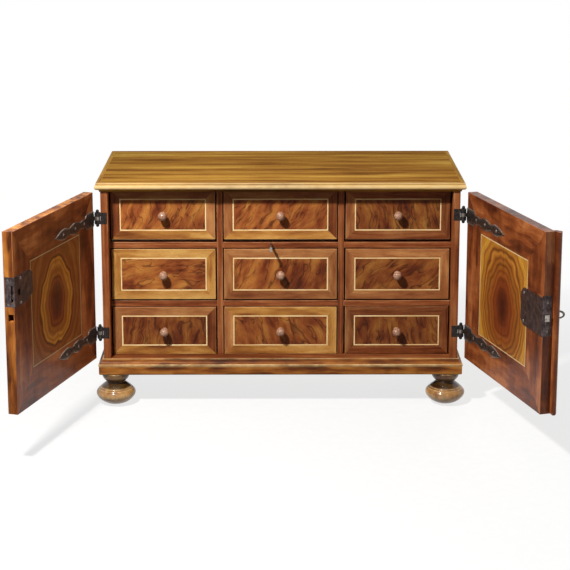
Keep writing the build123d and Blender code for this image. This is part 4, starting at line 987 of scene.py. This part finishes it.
for number, (drawer, (flameAngle, tones, borders)) in enumerate(drawerFigures.items()):
    low, high = extent(f"{drawer}_front")
    look = {**drawerLook, "fieldAngle": radians(flameAngle), "borders": borders}
    core = board((low[0], low[1] + look["sheet"], low[2]), high, 0, caseWalnut, 120 + number, arris=0.5)
    place = placed((0, low[1], 0), (1, 0, 0), (0, 0, 1), (0, -1, 0))
    face = veneeredFace(low[0], high[0], low[2], high[2], look, place, 130 + number, tones=tones)
    makePiece(f"{drawer}_front_veneered", [core, *face], f"{drawer}_front")

    low, high = extent(f"{drawer}_box")
    left, right = low[0] + look["side"], high[0] - look["side"]
    front, back, floorTop = low[1], high[1] - look["side"], low[2] + look["bottom"]
    walls = [
        (low, (left, high[1], high[2]), 1),
        ((right, front, low[2]), high, 1),
        ((left, back, low[2]), (right, high[1], high[2] - look["backDrop"]), 0),
        ((left, front, low[2]), (right, back, floorTop), 0),
    ]
    # Inside each box a nearly black film: painted shade
    film, shadeFilmTop = look["shadeFilm"], high[2] - look["shadeFilmDrop"]
    shadeFilms = [
        ((left, front, floorTop), (right, back, floorTop + film), 1),
        ((left, front, floorTop), (left + film, back, shadeFilmTop), 1),
        ((right - film, front, floorTop), (right, back, shadeFilmTop), 1),
        ((left, back - film, floorTop), (right, back, shadeFilmTop), 0),
        ((left, front, floorTop), (right, front + film, shadeFilmTop), 0),
    ]
    shapes = [board(start, stop, along, paleSpruce, 150 + 4 * number + index, arris=0.7)
              for index, (start, stop, along) in enumerate(walls)]
    shapes += [board(start, stop, along, paintedShadeFilm, 200 + 5 * number + index, arris=0.08, step=60)
               for index, (start, stop, along) in enumerate(shadeFilms)]
    makePiece(f"{drawer}_box_joined", shapes, f"{drawer}_box")

# Knobs: flange, neck and ball, with a turned line round the flange and at the crown. crownLine: how far over
# the ball's centre, its half width and its depth
knobLook = {
    "length": 19.5, "ball": 7.5, "neck": 3.5, "flange": 5.5, "flangeThick": 1.6, "slope": 3.2,
    "crownLine": (3.4, 0.28, 0.22), "wear": 0.25,
}
ball, neck, flange = knobLook["ball"], knobLook["neck"], knobLook["flange"]
ballCentre = knobLook["length"] - ball
ballTurn = np.linspace(pi - np.arcsin(neck / ball), 0.02, 26)
ballHeights = ballCentre + ball * np.cos(ballTurn)
lineOver, lineHalf, lineDepth = knobLook["crownLine"]
ballRadii = ball * np.sin(ballTurn) - swell(ballHeights, ballCentre + lineOver, lineHalf, lineDepth)
knobProfile = np.concatenate([
    [(0.02, flange - 0.3), (0.3, flange), (0.7, flange + 0.02), (0.9, flange - 0.25), (1.15, flange - 0.05),
     (knobLook["flangeThick"], flange - 0.4), (2.3, neck + 0.7), (knobLook["slope"], neck)],
    np.column_stack([ballHeights, ballRadii]),
])
for number, drawer in enumerate(drawerFigures):
    low, high = extent(f"{drawer}_knob")
    centre = (low + high) / 2
    frontOfDrawer = extent(f"{drawer}_front")[0][1]
    place = placed((centre[0], frontOfDrawer, centre[2]), (1, 0, 0), (0, 0, 1), (0, -1, 0))
    knob = turned(knobProfile, place, knobWood, 260 + number, segments=40, worn=knobLook["wear"])
    makePiece(f"{drawer}_knob_turned", [knob], f"{drawer}_knob", smooth=60)
print("drawers made")

# Doors, drawn shut and swung to where they stand
doorLook = {
    "sheet": 0.6, "border": 58, "line": 1.7, "lineTone": -0.25, "leaves": 2, "arris": 0.8, "drop": 0.4,
    "fieldAngle": pi / 2, "outerTones": (0.0, -0.05),
    "keyhole": {"half": 3.2, "over": 3.2, "under": 8.4},
}
# The plate is let in at the free edge, `seat` deep. Behind it a pocket goes in `deep` mm, from `below` under
# to `above` over a level, which is counted from the plate's lower end
doorSides = {
    # The left door's raised coreTone, borderTone and fieldTones are painted light: the lamp only grazes its
    # inner face
    -1: {"name": "left_door", "core": mouldingWalnut, "coreTone": 0.36, "borderTone": 0.5,
         "fieldTones": (0.5, 0.5), "heart": -8,
         "plate": "latch_plate", "seat": 1.2, "deep": 52, "level": 23, "below": 16, "above": 12},
    1: {"name": "right_door", "core": doorWalnut, "coreTone": -0.35, "borderTone": 0.0,
        "fieldTones": (0.0, 0.0), "heart": -20,
        "plate": "lock_plate", "seat": 1.2, "deep": 57.5, "level": 29, "below": 18, "above": 12},
}
swings = {side: shutToRest(door["name"]) for side, door in doorSides.items()}
backs = {side: np.linalg.inv(swing) for side, swing in swings.items()}


def opening(free, side, depth, bottom, top):  # a hole from the free edge: its left, right, bottom and top
    left, right = sorted((free, free + side * depth))
    return left, right, bottom, top


for side, door in doorSides.items():
    node = door["name"] + "_panel"
    back, swing = backs[side], swings[side]
    low, high = extent(node, back)
    free = high[0] if side < 0 else low[0]
    plateLow, plateHigh = extent(door["plate"], back)
    seat, deep = door["seat"] + 0.02, door["deep"] + 0.2
    pocketLow = plateLow[2] + door["level"] - door["below"]
    pocketHigh = plateLow[2] + door["level"] + door["above"]
    innerHoles = [
        opening(free, side, seat, plateLow[2], pocketLow),
        opening(free, side, seat, pocketHigh, plateHigh[2]),
        opening(free, side, deep, pocketLow, pocketHigh),
    ]
    outerHoles = []
    if side > 0:
        keyPlace, keyhole = np.array(joints["key"]["pos_m"]) / mm, doorLook["keyhole"]
        keyX = back[0, :3] @ keyPlace + back[0, 3]
        outerHoles = [(keyX - keyhole["half"], keyX + keyhole["half"], keyPlace[2] - keyhole["under"],
                       keyPlace[2] + keyhole["over"])]
    sheet = doorLook["sheet"]
    core = cadCopy(node, door["core"], 300 + side, back=back, squeeze=(1, low[1] + sheet, high[1] - sheet),
                   bevel=0.35, tone=door["coreTone"])
    innerLook = {**doorLook, "borders": {"all": (doorWalnut, door["borderTone"])},
                 "fieldWood": ovalWalnut[side]}
    outerLook = {**doorLook, "borders": {"all": (doorWalnut, 0.0)}, "fieldWood": figuredWalnut}
    innerPlace = placed((0, high[1], 0), (1, 0, 0), (0, 0, 1), (0, 1, 0))
    outerPlace = placed((0, low[1], 0), (1, 0, 0), (0, 0, 1), (0, -1, 0))
    face = (low[0], high[0], low[2], high[2])
    veneers = veneeredFace(*face, innerLook, innerPlace, 310 + side, holes=innerHoles,
                           tones=door["fieldTones"], heart=door["heart"])
    veneers += veneeredFace(*face, outerLook, outerPlace, 320 + side, holes=outerHoles,
                            tones=doorLook["outerTones"])
    makePiece(node + "_veneered", [core, *[moved(piece, swing) for piece in veneers]], node)

# Straps: half widths at places counted from the hinge edge, scalloped along both edges, with a chased line
# inside the edge and cross cuts where the outline changes
strapLook = {
    "length": 150, "thick": 1.5, "scallop": 5.4, "scallopDepth": 1.3, "stations": 190, "across": 17,
    "places": (0, 26, 30, 34, 42, 54, 62, 75, 88, 95, 104, 114, 126, 136, 144, 150),
    "halves": (13.6, 13.6, 12, 6.4, 7.8, 6.0, 8.2, 10.6, 8.4, 5.0, 6.8, 9.8, 8.4, 5.6, 2.4, 0.7),
    "cuts": (28, 57, 94, 133), "cutHalf": 0.7, "cutDepth": 0.35, "chased": (0.74, 0.09, 0.5),
    "rootHalf": 13, "tongue": 3.3, "knuckle": 5,
}


def strapShape(place):
    # Height over the face as a function of s along and t across, which runs from -1 to 1: flat, rounded at
    # the edge, with chased grooves. chased: middle and half width, both as t, and depth of the line
    s = np.linspace(0, strapLook["length"], strapLook["stations"])
    half = np.interp(s, strapLook["places"], strapLook["halves"])
    half = np.convolve(np.pad(half, 2, "edge"), np.ones(5) / 5, "valid")
    scallop = strapLook["scallopDepth"] * np.abs(np.sin(pi * s / strapLook["scallop"])) ** 0.7
    half = np.maximum(half - strapLook["scallopDepth"] + scallop, 0.5)
    t = np.sin(np.linspace(-pi / 2, pi / 2, strapLook["across"]))
    rise = strapLook["thick"] * (0.62 + 0.38 * (1 - np.abs(t) ** 6))
    chased = swell(np.abs(t), *strapLook["chased"])
    height = rise[None] - chased[None] * (half[:, None] > 3)
    for cut in strapLook["cuts"]:
        cross = swell(s, cut, strapLook["cutHalf"], strapLook["cutDepth"])
        height = height - cross[:, None] * (np.abs(t) < 0.95)
    top = np.stack([np.repeat(s[:, None], len(t), 1), half[:, None] * t, height], -1)
    under = np.stack([np.repeat(s[:, None], 2, 1), half[:, None] * [1, -1], np.zeros((len(s), 2))], -1)
    points = np.concatenate([top, under], 1)
    faces = tubeFaces(len(s), points.shape[1])
    worn = np.concatenate([np.abs(t) ** 6, [0.5, 0.5]])[None] * (0.6 + 0.4 * wander(s, 9, 5))[:, None]
    points = points.reshape(-1, 3)
    return moved(shape(points, faces, points.copy(), worn.ravel(), 0.0, forgedIron), place)


for side, door in doorSides.items():
    node = door["name"] + "_straps"
    panelLow, panelHigh = extent(door["name"] + "_panel", backs[side])
    edge, innerFace = panelHigh[0] if side > 0 else panelLow[0], panelHigh[1]
    pivot = np.array(joints[door["name"]]["pos_m"]) / mm
    tongue, radius = strapLook["tongue"], strapLook["knuckle"]
    knuckle = [(-tongue, radius - 0.6), (-tongue + 0.35, radius),
               (tongue - 0.35, radius), (tongue, radius - 0.6)]
    low, high = extent(node)
    shapes = []
    for index, height in enumerate((low[2] + strapLook["rootHalf"], high[2] - strapLook["rootHalf"])):
        place = placed((edge, innerFace, height), (-side, 0, 0), (0, 0, 1), (0, 1, 0))
        shapes.append(strapShape(place))
        # The strap runs on in a tongue to the middle knuckle, which is rolled round the pin
        stand = placed((pivot[0], pivot[1], height), (1, 0, 0), (0, 1, 0), (0, 0, 1))
        shapes.append(turned(knuckle, stand, forgedIron, 400 + index, segments=36, worn=[0.6, 0.3, 0.3, 0.6]))
        near, far = sorted((edge - side * 1.0, pivot[0] - side * 1.5))
        shapes.append(board((near, innerFace + 0.02, height - tongue),
                            (far, innerFace + strapLook["thick"], height + tongue),
                            0, forgedIron, 410 + index, arris=0.3))
    makePiece(node + "_forged", [moved(piece, swings[side]) for piece in shapes], node, smooth=45)

# Small parts keep their CAD shape, with eased edges: those of the case, then those that ride on the doors
for node, material, bevel in (
    ("hinge_leaves", blackIron, 0.25), ("hinge_pins", blackIron, 0.15), ("catch_pin", filedSteel, 0.45),
):
    makePiece(node + "_forged", [cadCopy(node, material, 430, bevel=bevel)], node, smooth=32)
for node, side, material, slotName, bevel in (
    ("left_door_nails", -1, rubbedIron, "iron", 0.1), ("right_door_nails", 1, rubbedIron, "iron", 0.1),
    ("latch_plate", -1, plateIron, "iron", 0.3), ("latch_lever", -1, forgedIron, "iron", 0.3),
    ("lock_plate", 1, plateIron, "iron", 0.3), ("lock_staple", 1, forgedIron, "iron", 0.25),
    ("lock_bolt", 1, filedSteel, "iron", 0.35), ("key", 1, rubbedIron, "iron", 0.3),
    ("escutcheon", 1, dullBrass, "brass", 0.35), ("astragal", 1, doorWalnut, "walnut", 0.25),
):
    part = cadCopy(node, material, 440, back=backs[side], bevel=bevel)
    makePiece(node + "_finished", [part], node, smooth=32)
print("doors and ironwork made")


# Floor, light and camera, in metres

def seenDirectly(tree):  # 1 where it is seen straight, in a mirror or through glass, 0 where it only lights
    rays = addNode(tree, "LightPath")
    seen = addNode(tree, "Math", {0: rays["Is Camera Ray"], 1: rays["Is Glossy Ray"]}, operation="MAXIMUM")[0]
    return addNode(tree, "Math", {0: seen, 1: rays["Is Transmission Ray"]}, operation="MAXIMUM")[0]


# A disc of rings of points, which spread outwards as the square of the ring's number. Its paint has
# `speckles` spots to the metre
floorLook = {
    "radius": 9.0, "rings": 40, "spokes": 96, "under": 0.0003, "clear": (0.45, 1.3), "glow": 0.75,
    "speckles": 60.0,
}
rings, spokes = floorLook["rings"], floorLook["spokes"]
reach = floorLook["radius"] * (np.arange(1, rings + 1) / rings)[:, None] ** 2
angle = np.arange(spokes) * 2 * pi / spokes
floorLevel = np.full((rings, spokes), -floorLook["under"])
floorPoints = np.stack([reach * np.cos(angle), reach * np.sin(angle), floorLevel], -1).reshape(-1, 3)
floorMesh = bpy.data.meshes.new("floor")
floorMesh.from_pydata(floorPoints.tolist(), [], tubeFaces(rings, spokes)[:-1])
floor = bpy.data.objects.new("floor", floorMesh)
bpy.context.scene.collection.objects.link(floor)

# Painted studio floor: matt off-white near the cabinet, lost in white further out
floorPaint, tree, skin = startMaterial("paintedFloor", {"Roughness": 0.9, "Specular IOR Level": 0.1})
place = addNode(tree, "TexCoord")["Object"]
speckle = addNode(tree, "TexNoise", {"Vector": place, "Scale": floorLook["speckles"], "Detail": 3.0})["Fac"]
tint = addNode(tree, "ValToRGB", {0: speckle}, stops=[(0.3, "#e6e5e1"), (0.7, "#efeeeb")])[0]
tree.links.new(tint, skin.inputs["Base Color"])
away = addNode(tree, "VectorMath", {0: place}, operation="LENGTH")["Value"]
near, far = floorLook["clear"]
fade = addNode(tree, "MapRange", {"Value": away, "From Min": near, "From Max": far,
                                  "To Min": floorLook["glow"]}, interpolation_type="SMOOTHSTEP")[0]
glow = addNode(tree, "Emission", {"Color": "#ffffff", "Strength": seenDirectly(tree)})[0]
mixed = addNode(tree, "MixShader", {0: fade, 1: skin.outputs[0], 2: glow})[0]
tree.links.new(mixed, tree.nodes["Material Output"].inputs["Surface"])
floorMesh.materials.append(floorPaint)

# A lamp near the cabinet, high at the front left, makes the shadows fan out; weak wide ones fill from the
# right and light the back. Only the lamp makes highlights
roomLook = {"light": 0.03, "aim": (0, -0.1, 0.2)}
lampLook = {
    "lamp": {"power": 46, "size": 0.14, "place": (-0.62, -1.2, 1.5), "highlights": True},
    "fill": {"power": 7, "size": 1.0, "place": (1.7, -1.2, 0.5), "highlights": False},
    "back": {"power": 40, "size": 1.2, "place": (0.7, 2.1, 0.6), "highlights": False},
}
scene = bpy.context.scene
world = bpy.data.worlds.new("studio")
scene.world = world
world.use_nodes = True
tree = world.node_tree
room = {"Value": seenDirectly(tree), "To Min": roomLook["light"], "To Max": 1.0}
tree.nodes["Background"].inputs["Color"].default_value = (1, 1, 1, 1)
tree.links.new(addNode(tree, "MapRange", room)[0], tree.nodes["Background"].inputs["Strength"])

for name, look in lampLook.items():
    light = bpy.data.lights.new(name + "Light", "AREA")
    light.shape = "DISK"
    light.energy = look["power"]
    light.size = look["size"]
    lightObject = bpy.data.objects.new(name + "Light", light)
    lightObject.location = look["place"]
    aim = Vector(roomLook["aim"]) - lightObject.location
    lightObject.rotation_euler = aim.to_track_quat("-Z", "Y").to_euler()
    lightObject.visible_glossy = look["highlights"]
    scene.collection.objects.link(lightObject)

cameraLook = {
    "place": (-0.00534, -2.86867, 0.95485), "tilt": 77.68, "yaw": -0.27, "lens": 105.96, "shift": -0.149,
}
camera = bpy.data.cameras.new("camera")
camera.lens = cameraLook["lens"]
camera.sensor_width = 36
camera.shift_y = cameraLook["shift"]
camera.clip_end = 50
cameraObject = bpy.data.objects.new("camera", camera)
cameraObject.location = cameraLook["place"]
cameraObject.rotation_euler = (radians(cameraLook["tilt"]), 0, radians(cameraLook["yaw"]))
scene.collection.objects.link(cameraObject)
scene.camera = cameraObject
scene.view_settings.view_transform = "Standard"
print("stage made")

bpy.context.view_layer.update()
